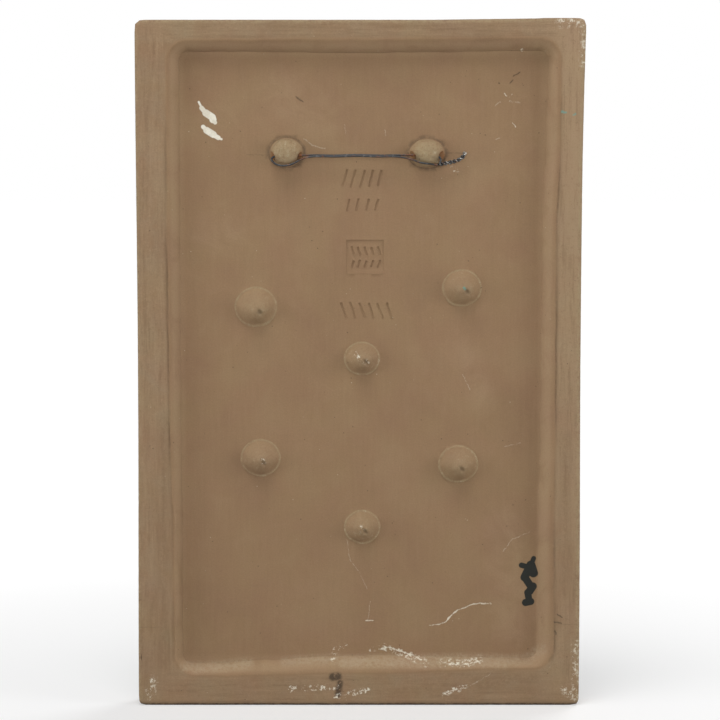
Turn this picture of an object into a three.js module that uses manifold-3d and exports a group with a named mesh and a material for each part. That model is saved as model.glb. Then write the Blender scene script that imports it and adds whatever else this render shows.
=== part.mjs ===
// A stoneware wall plaque, seen from behind it as it hangs: a slab with a raised rim round a shallow
// recess, six clay bosses, two pierced lugs and the steel wire that it hangs by.
// Units are millimetres. The origin is the middle of the wire, where a wall hook holds it.
// World +Z is up and the plaque's back faces -Y. The shapes are drawn in the plane of the back:
// x to the right, y up and z out of the back, towards the wall. The group at the end turns them upright.
import * as THREE from 'three';
import { mergeVertices } from 'three/addons/utils/BufferGeometryUtils.js';
import Module from 'manifold-3d';

const wasm = await Module();
wasm.setup();

// Slab outline
const HEAD = 76;
const FOOT = -314;
const CENTRE_X = 1;
const HALF_WIDTH = 126.1;
const WAIST = 1.2; // how far each long side draws in at its middle
const HEAD_FLARE = 2; // how far the right side spreads at its head
const HEAD_RISE = 1; // how much higher the head is at its right end
const HEAD_CORNER = 4;
const FOOT_CORNER = 3;
const SIDE_STEPS = 8;

// Depths, counted along z from the wire
const RIM_Z = 3.5;
const RECESS_DEPTH = 9;
const FIELD_Z = RIM_Z - RECESS_DEPTH;
const THICKNESS = 20;
const FRONT_Z = RIM_Z - THICKNESS;
const EDGE_ROUND = 1.8;

// Recess, at the foot of its wall
const FIELD = { left: -100.5, right: 105.7, foot: -288.6, head: 58, corner: 5 };
const WALL_SPREAD = 8.6; // how far the wall leans out, 0.5 mm past the rim's plane
const WALL_RINGS = 6;
const PAST_RIM = 0.5;

// Front, which has a plain border and a shallow channel round a flat panel
const BORDER = 16;
const CHANNEL = { width: 7, depth: 2, taper: 1.4 };

// Bosses: place, radius at the foot and height above the field
const BOSSES = [
  { x: -57.5, y: -85.9, radius: 11.6, height: 8.3 },
  { x: 59.7, y: -75.1, radius: 10.8, height: 8.5 },
  { x: 2.8, y: -115.4, radius: 9.8, height: 8.2 },
  { x: -55.1, y: -172.3, radius: 10.9, height: 8.2 },
  { x: 57.9, y: -175.8, radius: 10.9, height: 8.4 },
  { x: 2.9, y: -212.1, radius: 9.9, height: 8 },
];
// A boss's outline from its pressed lip to its blunt tip, as shares of its radius and height
const BOSS_PROFILE = [
  [1, 0], [0.98, 0.07], [0.92, 0.13], [0.8, 0.28], [0.62, 0.52], [0.42, 0.75], [0.22, 0.91], [0.08, 0.98],
];
const ROUND_SIDES = 20;
const ROOT = 1.5; // how deep a boss or lug reaches into the slab

// Lugs: squareness is the power of the dome's outline, and holeY is where its cross hole runs
const LUGS = [
  { x: -40, y: 2, radius: 8.3, height: 8.6, squareness: 2.6, holeY: -0.6 },
  { x: 39.7, y: 1.7, radius: 9, height: 8, squareness: 2.3, holeY: -0.2 },
];
const LUG_COLLAR = { width: 1.4, height: 0.7 };
const LUG_RINGS = 7;
const HOLE = { radius: 2.1, height: 4, sides: 12, length: 30 };

// Pressed marks: slanting strokes in rows
const STROKE_DEPTH = 0.5;
const STROKE_WIDTH = 1.3;
const STROKE_ROWS = [
  { x: -7, y: -13, count: 5, pitch: 5, length: 10, lean: 0.25 },
  { x: -5, y: -28, count: 4, pitch: 5.4, length: 7, lean: 0.25 },
  { x: -2.6, y: -54, count: 5, pitch: 3.8, length: 5, lean: -0.3 },
  { x: -2.6, y: -61.5, count: 5, pitch: 3.8, length: 4.4, lean: 0.3 },
  { x: -7.5, y: -88, count: 6, pitch: 5.2, length: 9.5, lean: -0.35 },
];
const STAMP = { x: 4.5, y: -57.4, width: 21.5, height: 19.2, depth: 0.45 };

// Wire
const WIRE_RADIUS = 0.55;
const WIRE_SIDES = 8;
const STEPS_PER_POINT = 2;
const PAIR_GAP = { y: 0.33, z: 0.5 }; // half the distance between the two strands of the span
const TWIST = { radius: 0.63, turns: 3.25, pointsPerTurn: 6 };

const CLAY = new THREE.MeshStandardMaterial({ color: '#92785c', roughness: 0.85, metalness: 0 });
const STEEL = new THREE.MeshStandardMaterial({ color: '#4a4744', roughness: 0.5, metalness: 0.9 });

/** A closed solid from a geometry, its shared vertices merged. */
function toSolid(geometry) {
  const bare = geometry.clone();
  bare.deleteAttribute('normal');
  bare.deleteAttribute('uv');
  const welded = mergeVertices(bare, 1e-4);
  const vertProperties = new Float32Array(welded.attributes.position.array);
  const triVerts = new Uint32Array(welded.index.array);
  return new wasm.Manifold(new wasm.Mesh({ numProp: 3, vertProperties, triVerts }));
}

/** A geometry from a solid. */
function toGeometry(solid) {
  const mesh = solid.getMesh();
  const geometry = new THREE.BufferGeometry();
  geometry.setAttribute('position', new THREE.BufferAttribute(mesh.vertProperties, 3));
  geometry.setIndex(new THREE.BufferAttribute(mesh.triVerts, 1));
  geometry.computeVertexNormals();
  return geometry;
}

/** The x of the slab's long side at a height, on the left (-1) or the right (+1). */
function sideX(side, y) {
  const rise = (y - FOOT) / (HEAD - FOOT);
  const flare = side > 0 ? HEAD_FLARE * rise ** 6 : 0;
  return CENTRE_X + side * (HALF_WIDTH - WAIST * Math.sin(Math.PI * rise) + flare);
}

/** The slab's outline: hand-made, so its sides are a little waisted and its head is not quite level. */
function slabShape() {
  const low = FOOT + FOOT_CORNER;
  const high = HEAD - HEAD_CORNER;
  const right = sideX(1, high);
  const left = sideX(-1, high);
  const shape = new THREE.Shape();
  shape.moveTo(sideX(-1, low) + FOOT_CORNER, FOOT);
  shape.lineTo(sideX(1, low) - FOOT_CORNER, FOOT);
  shape.quadraticCurveTo(sideX(1, low), FOOT, sideX(1, low), low);
  for (let i = 1; i <= SIDE_STEPS; i += 1) {
    const y = low + ((high + HEAD_RISE - low) * i) / SIDE_STEPS;
    shape.lineTo(sideX(1, y), y);
  }
  shape.quadraticCurveTo(right, HEAD + HEAD_RISE, right - HEAD_CORNER, HEAD + HEAD_RISE);
  shape.lineTo(CENTRE_X + HALF_WIDTH / 3, HEAD);
  shape.lineTo(left + HEAD_CORNER, HEAD);
  shape.quadraticCurveTo(left, HEAD, left, high);
  for (let i = 1; i <= SIDE_STEPS; i += 1) {
    const y = high - ((high - low) * i) / SIDE_STEPS;
    shape.lineTo(sideX(-1, y), y);
  }
  shape.quadraticCurveTo(sideX(-1, low), FOOT, sideX(-1, low) + FOOT_CORNER, FOOT);
  return shape;
}

/** A rectangle with rounded corners, about the middle of its box. */
function roundedRectangle(width, height, corner, Path = THREE.Shape) {
  const x = width / 2;
  const y = height / 2;
  const path = new Path();
  path.moveTo(corner - x, -y);
  path.absarc(x - corner, corner - y, corner, -Math.PI / 2, 0);
  path.absarc(x - corner, y - corner, corner, 0, Math.PI / 2);
  path.absarc(corner - x, y - corner, corner, Math.PI / 2, Math.PI);
  path.absarc(corner - x, corner - y, corner, Math.PI, Math.PI * 1.5);
  return path;
}

/** The slab with its edges rounded, before the recess. */
function slab() {
  const geometry = new THREE.ExtrudeGeometry(slabShape(), {
    depth: THICKNESS - 2 * EDGE_ROUND,
    curveSegments: 4,
    bevelThickness: EDGE_ROUND,
    bevelSize: EDGE_ROUND,
    bevelOffset: -EDGE_ROUND,
    bevelSegments: 3,
  });
  geometry.translate(0, 0, FRONT_Z + EDGE_ROUND);
  return toSolid(geometry);
}

/** What is dug out of the back: steep at the field and rounding over at the rim. */
function recess() {
  const width = FIELD.right - FIELD.left;
  const height = FIELD.head - FIELD.foot;
  const depth = RECESS_DEPTH + PAST_RIM;
  const geometry = new THREE.ExtrudeGeometry(roundedRectangle(width, height, FIELD.corner), {
    depth,
    steps: WALL_RINGS,
    curveSegments: 5,
    bevelEnabled: false,
  });
  const position = geometry.attributes.position;
  for (let i = 0; i < position.count; i += 1) {
    const angle = ((position.getZ(i) / depth) * Math.PI) / 2;
    const lean = WALL_SPREAD * (0.35 * Math.sin(angle) + 0.65 * (1 - Math.cos(angle)));
    const x = position.getX(i) * (1 + (2 * lean) / width);
    const y = position.getY(i) * (1 + (2 * lean) / height);
    position.setXYZ(i, x, y, depth * Math.sin(angle));
  }
  geometry.translate((FIELD.left + FIELD.right) / 2, (FIELD.foot + FIELD.head) / 2, FIELD_Z);
  return toSolid(geometry);
}

/** The channel round the front's panel. */
function frontChannel() {
  const outer = { width: 2 * (HALF_WIDTH - WAIST - BORDER), height: HEAD - FOOT - 2 * BORDER };
  const shape = roundedRectangle(outer.width, outer.height, FIELD.corner);
  const inner = [outer.width - 2 * CHANNEL.width, outer.height - 2 * CHANNEL.width];
  shape.holes.push(roundedRectangle(...inner, FIELD.corner / 2, THREE.Path));
  const geometry = new THREE.ExtrudeGeometry(shape, {
    depth: CHANNEL.depth,
    curveSegments: 5,
    bevelThickness: CHANNEL.depth,
    bevelSize: CHANNEL.taper,
    bevelOffset: -CHANNEL.taper,
    bevelSegments: 1,
  });
  geometry.translate(CENTRE_X, (HEAD + FOOT) / 2, FRONT_Z - CHANNEL.depth);
  return toSolid(geometry);
}

/** A round form that stands on the field, from the points of its outline, base first. */
function turned(points, place) {
  const base = new THREE.Vector2(points[0].x, -ROOT);
  const geometry = new THREE.LatheGeometry([new THREE.Vector2(0, -ROOT), base, ...points], ROUND_SIDES);
  geometry.rotateX(Math.PI / 2);
  geometry.translate(place.x, place.y, FIELD_Z);
  return toSolid(geometry);
}

/** A boss: a wad of clay pressed on and drawn up to a blunt tip. */
function boss(place) {
  const points = BOSS_PROFILE.map(([out, up]) => new THREE.Vector2(out * place.radius, up * place.height));
  points.push(new THREE.Vector2(0, place.height));
  return turned(points, place);
}

/** A lug: a domed knob on a thin collar, pierced from side to side. */
function lug(place) {
  const points = [
    new THREE.Vector2(place.radius + LUG_COLLAR.width, 0),
    new THREE.Vector2(place.radius + LUG_COLLAR.width / 2, LUG_COLLAR.height * 0.7),
  ];
  for (let i = 1; i <= LUG_RINGS; i += 1) {
    const up = Math.sin((i / LUG_RINGS) * (Math.PI / 2));
    const out = (1 - up ** place.squareness) ** (1 / place.squareness);
    points.push(new THREE.Vector2(out * place.radius, up * place.height));
  }
  const hole = new THREE.CylinderGeometry(HOLE.radius, HOLE.radius, HOLE.length, HOLE.sides);
  hole.rotateZ(Math.PI / 2);
  hole.translate(place.x, place.holeY, FIELD_Z + HOLE.height);
  return turned(points, place).subtract(toSolid(hole));
}

/** One slanting stroke, sunk by its depth into the surface at a given z. */
function stroke(x, y, length, lean, surface) {
  const geometry = new THREE.BoxGeometry(STROKE_WIDTH, length, 2 * STROKE_DEPTH);
  geometry.rotateZ(-lean);
  geometry.translate(x, y, surface);
  return toSolid(geometry);
}

/** The pressed marks: a stamped rectangle and five rows of strokes, two of them inside it. */
function marks() {
  const plate = new THREE.BoxGeometry(STAMP.width, STAMP.height, 2 * STAMP.depth);
  plate.translate(STAMP.x, STAMP.y, FIELD_Z);
  let cut = toSolid(plate);
  for (const row of STROKE_ROWS) {
    const inStamp = Math.abs(row.y - STAMP.y) < STAMP.height / 2;
    const surface = FIELD_Z - (inStamp ? STAMP.depth : 0);
    for (let i = 0; i < row.count; i += 1) {
      cut = cut.add(stroke(row.x + i * row.pitch, row.y, row.length, row.lean, surface));
    }
  }
  return cut;
}

function plaqueGeometry() {
  let clay = slab().subtract(recess()).subtract(frontChannel()).subtract(marks());
  for (const place of BOSSES) {
    clay = clay.add(boss(place));
  }
  for (const place of LUGS) {
    clay = clay.add(lug(place));
  }
  return toGeometry(clay);
}

// The wire's route, in the plane of the back. It starts at the twisted tail, runs through both lugs, turns
// round the left one and comes back in front of them to the tail.
const TAIL = [
  [46.6, -5, -0.4], [49.6, -4.6, -1.4], [52.9, -3.9, -1.8], [56.4, -2.9, -1.8], [59.3, -1.3, -1.5],
  [61.2, 1.6, -1],
];
const THROUGH_RIGHT_LUG = [
  [46.9, -4, 0.45], [47.3, -2.6, 0.4], [46.8, -1.3, -0.1], [45, -0.4, -0.6], [42, -0.1, -0.6],
  [37, 0.1, -0.5], [32, 0.2, -0.5],
];
const THROUGH_LEFT_LUG = [
  [-34.5, 0, -0.5], [-40, -0.2, -0.5], [-44.6, -0.4, -0.6], [-47.3, -0.9, -0.6], [-48.3, -2.3, -0.2],
  [-47, -4.1, 0.4], [-44.4, -5.4, 0.9], [-41.5, -5.8, 1.2], [-38.3, -5.4, 1.3], [-35, -4.1, 1.1],
  [-32, -2.4, 0.8], [-28.5, -1.2, 0.6], [-24.5, -0.6, 0.5],
];
const UNDER_RIGHT_LUG = [
  [24.5, -0.9, 0.6], [28.5, -1.6, 0.9], [32, -2.6, 1.5], [35.2, -3.9, 2.1], [38.6, -4.5, 2.3],
  [42, -4.9, 1.6], [44.6, -5.3, 0.5],
];
const SPAN_X = [-20, -13, -6, 0, 6, 13, 20];

const vector = (point) => new THREE.Vector3(...point);

/** The height of the wire along its span, which is not quite straight. */
const spanY = (x) => 0.18 * Math.cos(x / 4.5) - 0.18;

/** One strand of the span: the inner one (+1) lies higher and nearer the field than the outer one (-1). */
function spanStrand(side) {
  return SPAN_X.map((x) => new THREE.Vector3(x, spanY(x) + side * PAIR_GAP.y, -side * PAIR_GAP.z));
}

/** One strand of the tail, winding round its middle line; the other strand starts half a turn on. */
function tailStrand(startAngle) {
  const middle = new THREE.CatmullRomCurve3(TAIL.map(vector));
  const count = Math.round(TWIST.turns * TWIST.pointsPerTurn);
  const points = [];
  for (let i = 0; i <= count; i += 1) {
    const angle = startAngle + (i / TWIST.pointsPerTurn) * Math.PI * 2;
    const along = middle.getTangentAt(i / count);
    const across = new THREE.Vector3(0, 0, 1).cross(along).normalize();
    const out = along.clone().cross(across);
    const point = middle.getPointAt(i / count);
    point.addScaledVector(across, TWIST.radius * Math.cos(angle));
    point.addScaledVector(out, TWIST.radius * Math.sin(angle));
    points.push(point);
  }
  return points;
}

/** A curve whose steps are shared out by its points, so that they are short where the points are close. */
class PointedCurve extends THREE.CatmullRomCurve3 {
  getUtoTmapping(u) {
    return u;
  }
}

function wireGeometry() {
  const route = [
    ...tailStrand(Math.PI / 2).reverse(),
    ...THROUGH_RIGHT_LUG.map(vector),
    ...spanStrand(1).reverse(),
    ...THROUGH_LEFT_LUG.map(vector),
    ...spanStrand(-1),
    ...UNDER_RIGHT_LUG.map(vector),
    ...tailStrand(-Math.PI / 2),
  ];
  const section = new THREE.Shape();
  section.absarc(0, 0, WIRE_RADIUS, 0, Math.PI * 2);
  return new THREE.ExtrudeGeometry(section, {
    steps: (route.length - 1) * STEPS_PER_POINT,
    curveSegments: WIRE_SIDES / 2,
    extrudePath: new PointedCurve(route, false, 'centripetal'),
  });
}

function piece(name, geometry, material) {
  const mesh = new THREE.Mesh(geometry, material);
  mesh.name = name;
  return mesh;
}

const plaque = new THREE.Group();
plaque.add(piece('plaque', plaqueGeometry(), CLAY));
plaque.add(piece('hanging_wire', wireGeometry(), STEEL));
plaque.rotation.x = Math.PI / 2;

export default plaque;
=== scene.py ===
"""A stoneware wall plaque seen from behind, with its clay bosses, its pierced lugs and its hanging wire.

Shapes are worked out in millimetres in the plane of the back: x to the right, y up and z out of the back,
towards the wall. UPRIGHT stands them up in the frame, whose -Y is the back's side.
"""
import math
import random
from collections import namedtuple

import bmesh
import bpy
from mathutils import Matrix, Vector, noise


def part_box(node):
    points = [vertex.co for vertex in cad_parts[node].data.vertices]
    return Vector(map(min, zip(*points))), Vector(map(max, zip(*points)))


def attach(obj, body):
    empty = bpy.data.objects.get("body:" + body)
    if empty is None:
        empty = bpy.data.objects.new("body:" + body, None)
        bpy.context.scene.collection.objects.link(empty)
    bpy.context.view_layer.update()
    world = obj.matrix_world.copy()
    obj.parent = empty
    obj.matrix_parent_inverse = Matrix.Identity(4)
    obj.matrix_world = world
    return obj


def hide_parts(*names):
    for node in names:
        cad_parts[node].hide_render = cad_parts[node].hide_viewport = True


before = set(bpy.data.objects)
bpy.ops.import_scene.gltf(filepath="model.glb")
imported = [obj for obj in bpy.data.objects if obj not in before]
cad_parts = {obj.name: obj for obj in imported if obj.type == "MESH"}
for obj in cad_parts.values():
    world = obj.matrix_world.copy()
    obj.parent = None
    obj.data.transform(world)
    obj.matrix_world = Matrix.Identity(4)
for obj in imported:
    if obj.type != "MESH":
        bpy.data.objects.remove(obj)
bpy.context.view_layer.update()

bl_info = {
    "name": "Stoneware wall plaque",
    "version": (1, 0, 0),
    "blender": (4, 5, 0),
    "location": "3D View > Sidebar > Plaque",
    "description": "Builds the back of a hand-made stoneware plaque with its lugs, bosses and wire",
    "category": "Add Mesh",
}

MM = 0.001
UPRIGHT = Matrix.Rotation(math.pi / 2, 4, "X") @ Matrix.Scale(MM, 4)
LOW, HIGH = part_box("plaque")

# Slab, from the frame
FOOT = LOW.z / MM
TOP = HIGH.z / MM
RIM_Z = -LOW.y / MM
FRONT_Z = -HIGH.y / MM
HEAD_RISE = 1.0
HEAD = TOP - HEAD_RISE
CENTRE_X = 1.0
HALF_WIDTH = 126.1
WAIST = 0.7
HEAD_FLARE = 2.0
MIDDLE_Z = (RIM_Z + FRONT_Z) / 2
HEAD_SQUARENESS = 16
FOOT_SQUARENESS = 21

# Recess in the back, at the foot of its wall
FIELD_Z = RIM_Z - 9.0
FIELD_CENTRE = Vector((2.6, -115.3))
FIELD_HALF = Vector((103.1, 173.3))
FIELD_CORNER = 5.0
WALL_SPREAD = 8.6
WALL_DEPTH = 9.5
WALL_RINGS = 9
CREST_ANGLE = math.asin((RIM_Z - FIELD_Z - 0.3) / WALL_DEPTH)
CREST = 6.7
RIM_RINGS = 9
RIM_START = 2.6
FIELD_MARGIN = 3.2

# Seam between the wall and the rim: how far past the crest, and which share of its depth it has there
SEAM_SECTION = ((0.0, 0.3), (0.45, 1.0), (0.8, 0.8), (1.3, 0.0))
SHOULDER_DROP = 0.12

# How far the hand-cut wall strays outwards from its straight line, at its foot and at its crest, by how far
# along a side it is: from -1 to 1, upwards or to the right
Stray = namedtuple("Stray", "along foot crest")
LEFT_STRAY = (
    Stray(-1.0, -0.5, -3.4), Stray(-0.58, -0.5, -3.4), Stray(-0.25, -0.4, -1.1), Stray(0.1, 0.0, -0.6),
    Stray(0.45, 0.0, 0.0), Stray(1.0, 0.0, 0.0),
)
RIGHT_STRAY = (
    Stray(-1.0, -2.4, 0.0), Stray(-0.58, -2.3, -0.4), Stray(-0.25, -1.0, 0.0), Stray(0.43, -0.5, 0.0),
    Stray(0.75, 1.5, 2.2), Stray(1.0, 2.5, 2.3),
)
FOOT_STRAY = (
    Stray(-1.0, 2.3, 1.5), Stray(-0.85, 2.3, 1.5), Stray(-0.53, 0.5, 1.0), Stray(-0.18, -1.5, 0.0),
    Stray(0.16, -2.0, 0.0), Stray(0.51, -1.2, -1.5), Stray(0.83, -1.0, -2.8), Stray(1.0, -0.8, -2.8),
)
HEAD_STRAY = (Stray(-1.0, 0.5, 0.0), Stray(0.0, -0.4, 0.5), Stray(1.0, 0.8, 1.2))
STRAY_WAVE = 0.45

# Front: border, channel and panel
PANEL_CENTRE = Vector((1.0, -119.0))
PANEL_HALF = Vector((101.9, 172.0))
PANEL_CORNER = 2.5
CHANNEL_WIDTH = 7.0
CHANNEL_DEPTH = 2.0
CHANNEL_SECTION = (
    (6.8, 0.1), (6.4, 0.5), (6.0, 1.2), (5.6, 1.75), (5.0, 1.97), (3.5, CHANNEL_DEPTH),
    (2.0, 1.97), (1.4, 1.75), (1.0, 1.2), (0.6, 0.5), (0.2, 0.1), (0.0, 0.0),
)
BORDER_RINGS = 3

CORNER_LINES = 7
CORNER_BIAS = 1.8
EDGE_STEPS = 5
SIDE_RINGS = 3

# Bosses: place, radius, height and how far the tip leans, to the right and down
Boss = namedtuple("Boss", "x y radius height lean")
BOSSES = (
    Boss(-57.5, -85.9, 11.6, 8.3, (0.9, -1.3)),
    Boss(59.7, -75.1, 10.8, 8.5, (1.2, -0.5)),
    Boss(2.8, -115.4, 9.8, 8.2, (0.7, -0.3)),
    Boss(-55.1, -172.3, 10.9, 8.2, (0.4, -0.9)),
    Boss(57.9, -175.8, 10.9, 8.4, (0.5, -1.1)),
    Boss(2.9, -212.1, 9.9, 8.0, (0.3, -0.6)),
)
BOSS_PROFILE = (
    (1.0, 0.0), (0.985, 0.035), (0.955, 0.06), (0.92, 0.07), (0.885, 0.085), (0.85, 0.13), (0.79, 0.23),
    (0.7, 0.38), (0.6, 0.53), (0.5, 0.655), (0.41, 0.755), (0.32, 0.835), (0.23, 0.9), (0.15, 0.95),
    (0.08, 0.985), (0.0, 1.0),
)
BOSS_WIDE = 1.07
PINCH = (1.1, -1.2)
LIP = 0.95
ROOT = 1.5
ROUND_STEPS = 48

# Lugs: place, radius, height, power of the dome's outline, height of the hole, and how wide and tall the
# squeezing left them, as shares
Lug = namedtuple("Lug", "x y radius height squareness hole_y wide tall")
LUGS = (
    Lug(-40.0, 1.8, 8.3, 8.6, 2.6, -0.6, 1.1, 0.94),
    Lug(39.7, 1.4, 9.0, 8.0, 2.3, -0.2, 1.09, 0.88),
)
LUG_RINGS = 14
COLLAR_WIDTH = 1.4
COLLAR_HEIGHT = 0.7
HOLE_RADIUS = 2.1
HOLE_RISE = 4.0
MOUTH_FLARE = 1.1

# Pressed marks: rows of slanting strokes, and a pressed rectangle with two of the rows in it
Row = namedtuple("Row", "x y count pitch length lean")
STROKE_WIDTH = 1.3
STROKE_ROWS = (
    Row(-7.0, -13.0, 5, 5.0, 10.0, 0.25),
    Row(-5.0, -28.0, 4, 5.4, 7.0, 0.25),
    Row(-2.6, -54.0, 5, 3.8, 5.0, -0.3),
    Row(-2.6, -61.5, 5, 3.8, 4.4, 0.3),
    Row(-7.5, -88.0, 6, 5.2, 9.5, -0.35),
)
Stamp = namedtuple("Stamp", "x y width height depth")
STAMP = Stamp(4.5, -57.4, 21.5, 19.2, 0.45)

# Wire: its route from the tail through both lugs and back, as the solid has it
TAIL = (
    (46.6, -5, -0.4), (49.6, -4.6, -1.4), (52.9, -3.9, -1.8), (56.4, -2.9, -1.8), (59.3, -1.3, -1.5),
    (61.2, 1.6, -1),
)
THROUGH_RIGHT_LUG = (
    (46.9, -4, 0.45), (47.3, -2.6, 0.4), (46.8, -1.3, -0.1), (45, -0.4, -0.6), (42, -0.1, -0.6),
    (37, 0.1, -0.5), (32, 0.2, -0.5),
)
THROUGH_LEFT_LUG = (
    (-34.5, 0, -0.5), (-40, -0.2, -0.5), (-44.6, -0.4, -0.6), (-47.3, -0.9, -0.6), (-48.3, -2.3, -0.2),
    (-47, -4.1, 0.4), (-44.4, -5.4, 0.9), (-41.5, -5.8, 1.2), (-38.3, -5.4, 1.3), (-35, -4.1, 1.1),
    (-32, -2.4, 0.8), (-28.5, -1.2, 0.6), (-24.5, -0.6, 0.5),
)
UNDER_RIGHT_LUG = (
    (24.5, -0.9, 0.6), (28.5, -1.6, 0.9), (32, -2.6, 1.5), (35.2, -3.9, 2.1), (38.6, -4.5, 2.3),
    (42, -4.9, 1.6), (44.6, -5.3, 0.5),
)
SPAN_X = (-20, -13, -6, 0, 6, 13, 20)
PAIR_GAP = (0.33, 0.5)
TWIST_RADIUS = 0.63
TWIST_TURNS = 3.25
TWIST_POINTS = 6
WIRE_SIDES = 12
WIRE_STEPS = 5

# Old marks on the back, with a few painted glints and a painted highlight among them: each is a half-width
# and the points of a line of straight strokes
WHITE_PAINT = (
    (0.5, (-89.6, 30.2), (-88.2, 27.4)),
    (1.2, (-88.0, 26.8), (-86.2, 24.6)),
    (1.9, (-85.6, 24.0), (-82.0, 21.6), (-81.6, 20.2)),
    (1.0, (-81.6, 20.4), (-80.4, 18.6)),
    (1.1, (-87.2, 16.2), (-85.6, 14.6)),
    (1.8, (-85.2, 14.2), (-81.4, 11.8)),
    (1.2, (-81.0, 11.4), (-78.6, 10.0)),
    (0.5, (-78.4, 9.8), (-76.8, 9.2)),
)
BLACK_PAINT = (
    (1.3, (101.4, -230.4), (100.2, -233.4)),
    (1.5, (94.4, -234.4), (98.0, -235.4)),
    (2.6, (99.8, -234.4), (101.2, -238.8)),
    (2.3, (98.2, -237.2), (96.2, -241.4)),
    (2.1, (97.0, -242.4), (99.4, -246.0)),
    (2.2, (101.0, -246.6), (99.0, -249.6)),
    (1.9, (98.0, -250.2), (98.6, -253.2)),
    (2.0, (96.8, -256.0), (99.8, -255.4)),
)
WHITE_SCRATCHES = (
    (0.12, (41.4, -269.4), (46.5, -268.8), (51.1, -267.1)),
    (0.24, (51.1, -267.1), (53.4, -264.2), (57.4, -260.7)),
    (0.14, (57.4, -260.7), (63.2, -258.4), (67.2, -256.6), (76.9, -256.6)),
    (0.16, (5.2, -266.5), (9.2, -266.5)),
    (0.1, (83.1, 35.2), (84.8, 33.5)),
    (0.1, (86.5, 33.0), (87.7, 34.7)),
    (0.1, (88.3, 18.3), (90.0, 16.1)),
    (0.35, (93.0, 59.7), (93.5, 59.2)),
    (0.2, (14.9, -281.2), (21.8, -283.3), (32.2, -286.6), (36.8, -288.6)),
    (0.22, (51.2, -290.6), (61.0, -290.9), (69.6, -289.2)),
    (0.15, (52.0, -306.0), (56.7, -304.7), (62.7, -303.7)),
)
# Pale bloom along the foot's wall, which is also a painted highlight for the light it catches from above
FOOT_WALL_BLOOM_AND_HIGHLIGHT = (
    (1.4, (-99.0, -292.4), (-88.0, -293.2), (-76.0, -292.0), (-62.0, -290.8)),
    (1.0, (-42.0, -289.8), (-26.0, -288.6), (-12.0, -288.2)),
    (1.9, (-8.0, -289.6), (12.0, -289.4), (34.0, -289.6)),
    (2.2, (34.0, -289.4), (58.0, -288.8), (84.0, -289.2)),
    (1.4, (84.0, -289.2), (99.0, -287.6), (106.0, -282.0)),
)
FLAKES_AND_TIP_GLINTS = (
    (1.0, (-13.8, -288.0), (-12.1, -282.8), (-6.9, -281.0)),
    (1.6, (14.9, -281.6), (21.8, -283.9), (32.2, -287.4), (38.8, -290.2)),
    (1.3, (49.2, -289.7), (61.0, -290.6), (70.6, -288.4)),
    (0.9, (8.0, -283.3), (13.2, -282.2)),
    (1.2, (50.1, -307.2), (54.7, -304.9), (62.7, -303.7)),
    (1.4, (-38.0, -304.4), (-12.0, -303.0)),
    (1.2, (-12.0, -309.0), (6.0, -305.0)),
    # On the centre boss's tip: painted glints
    (0.7, (-0.6, -112.4), (1.6, -115.0)),
    (0.6, (1.8, -115.8), (4.4, -117.4)),
    (0.7, (5.4, -116.6), (6.2, -118.4)),
    (0.9, (53.8, -7.4), (57.4, -8.6)),
    # On two more bosses' tips: painted glints
    (0.8, (-54.0, -172.0), (-53.0, -175.0)),
    (0.8, (1.6, -211.0), (3.6, -214.6)),
)
FAINT_SCRATCHES = (
    (0.1, (7.5, -255.5), (6.9, -261.3), (6.3, -265.9)),
    (0.1, (-5.7, -219.6), (-4.0, -231.1), (1.7, -239.2), (5.7, -247.9)),
    (0.2, (-30.0, 9.3), (-25.5, 5.9), (-18.1, 3.7)),
    (0.15, (62.7, -303.7), (70.8, -299.1), (76.5, -295.6)),
    (0.15, (78.1, 8.7), (81.0, 9.9)),
    (0.25, (78.1, 27.9), (80.9, 30.2)),
    (0.35, (86.5, 30.7), (92.2, 29.6)),
    (0.12, (84.6, -166.0), (93.1, -163.7)),
    (0.12, (60.4, -124.7), (64.5, -133.3)),
    (0.12, (83.7, -226.5), (88.8, -219.6), (99.1, -215.0)),
    (0.1, (-7.0, 17.5), (-6.4, 12.3)),
    (0.1, (15.8, 14.4), (16.4, 11.2)),
)
DARK_SCRATCHES = (
    (0.3, (114.3, -261.3), (117.2, -263.0)),
    (0.25, (112.6, -265.9), (116.6, -266.5)),
    (0.25, (113.2, -271.1), (113.8, -272.9)),
    (0.25, (-34.5, 33.0), (-30.5, 30.2)),
    (0.25, (88.7, 44.8), (92.1, 47.0)),
    (0.2, (86.5, 40.8), (88.2, 42.5)),
    (0.3, (80.4, 40.9), (80.6, 40.7)),
)
DRAGGED_LINES = (
    (0.1, (116.6, -267.1), (124.6, -267.1)),
    (0.1, (-125.3, -268.8), (-110.3, -268.8)),
    (0.15, (-62.0, 0.4), (-51.0, 0.2)),
    (0.3, (50.5, 1.2), (60.5, 1.4)),
    (0.15, (-48.5, 3.5), (-44.0, 8.5)),
)
DARK_STAINS = (
    (1.7, (-14.0, -297.5), (-10.9, -297.2)),
    (1.3, (-9.8, -301.0), (-11.0, -307.8)),
)
GREY_SMUDGES = (
    (3.0, (70.8, -302.7), (82.3, -299.8), (93.8, -298.9), (99.5, -298.1)),
    (1.0, (-88.0, 71.4), (-83.0, 71.9)),
    (1.0, (-48.3, 72.8), (-44.3, 72.6)),
    (1.4, (68.6, 66.1), (77.9, 66.1)),
    (1.6, (-110.0, -150.0), (-111.0, -290.0)),
    (1.2, (119.0, -160.0), (118.0, -250.0)),
)
DARK_CLOUDS = (
    (9.0, (88.0, -146.0), (94.0, -160.0)),
    (6.0, (0.0, 46.0), (30.0, 40.0)),
    (8.0, (-70.0, -178.0), (-66.0, -184.0)),
    (6.0, (56.0, -192.0), (48.0, -186.0)),
)
LIGHT_CLOUDS = (
    (3.5, (62.0, -112.0), (72.0, -140.0)),
    (7.0, (-86.0, -44.0), (-74.0, -46.0)),
    (9.0, (-46.0, 38.0), (-20.0, 22.0)),
    (8.0, (84.0, -210.0), (90.0, -270.0)),
)
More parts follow.
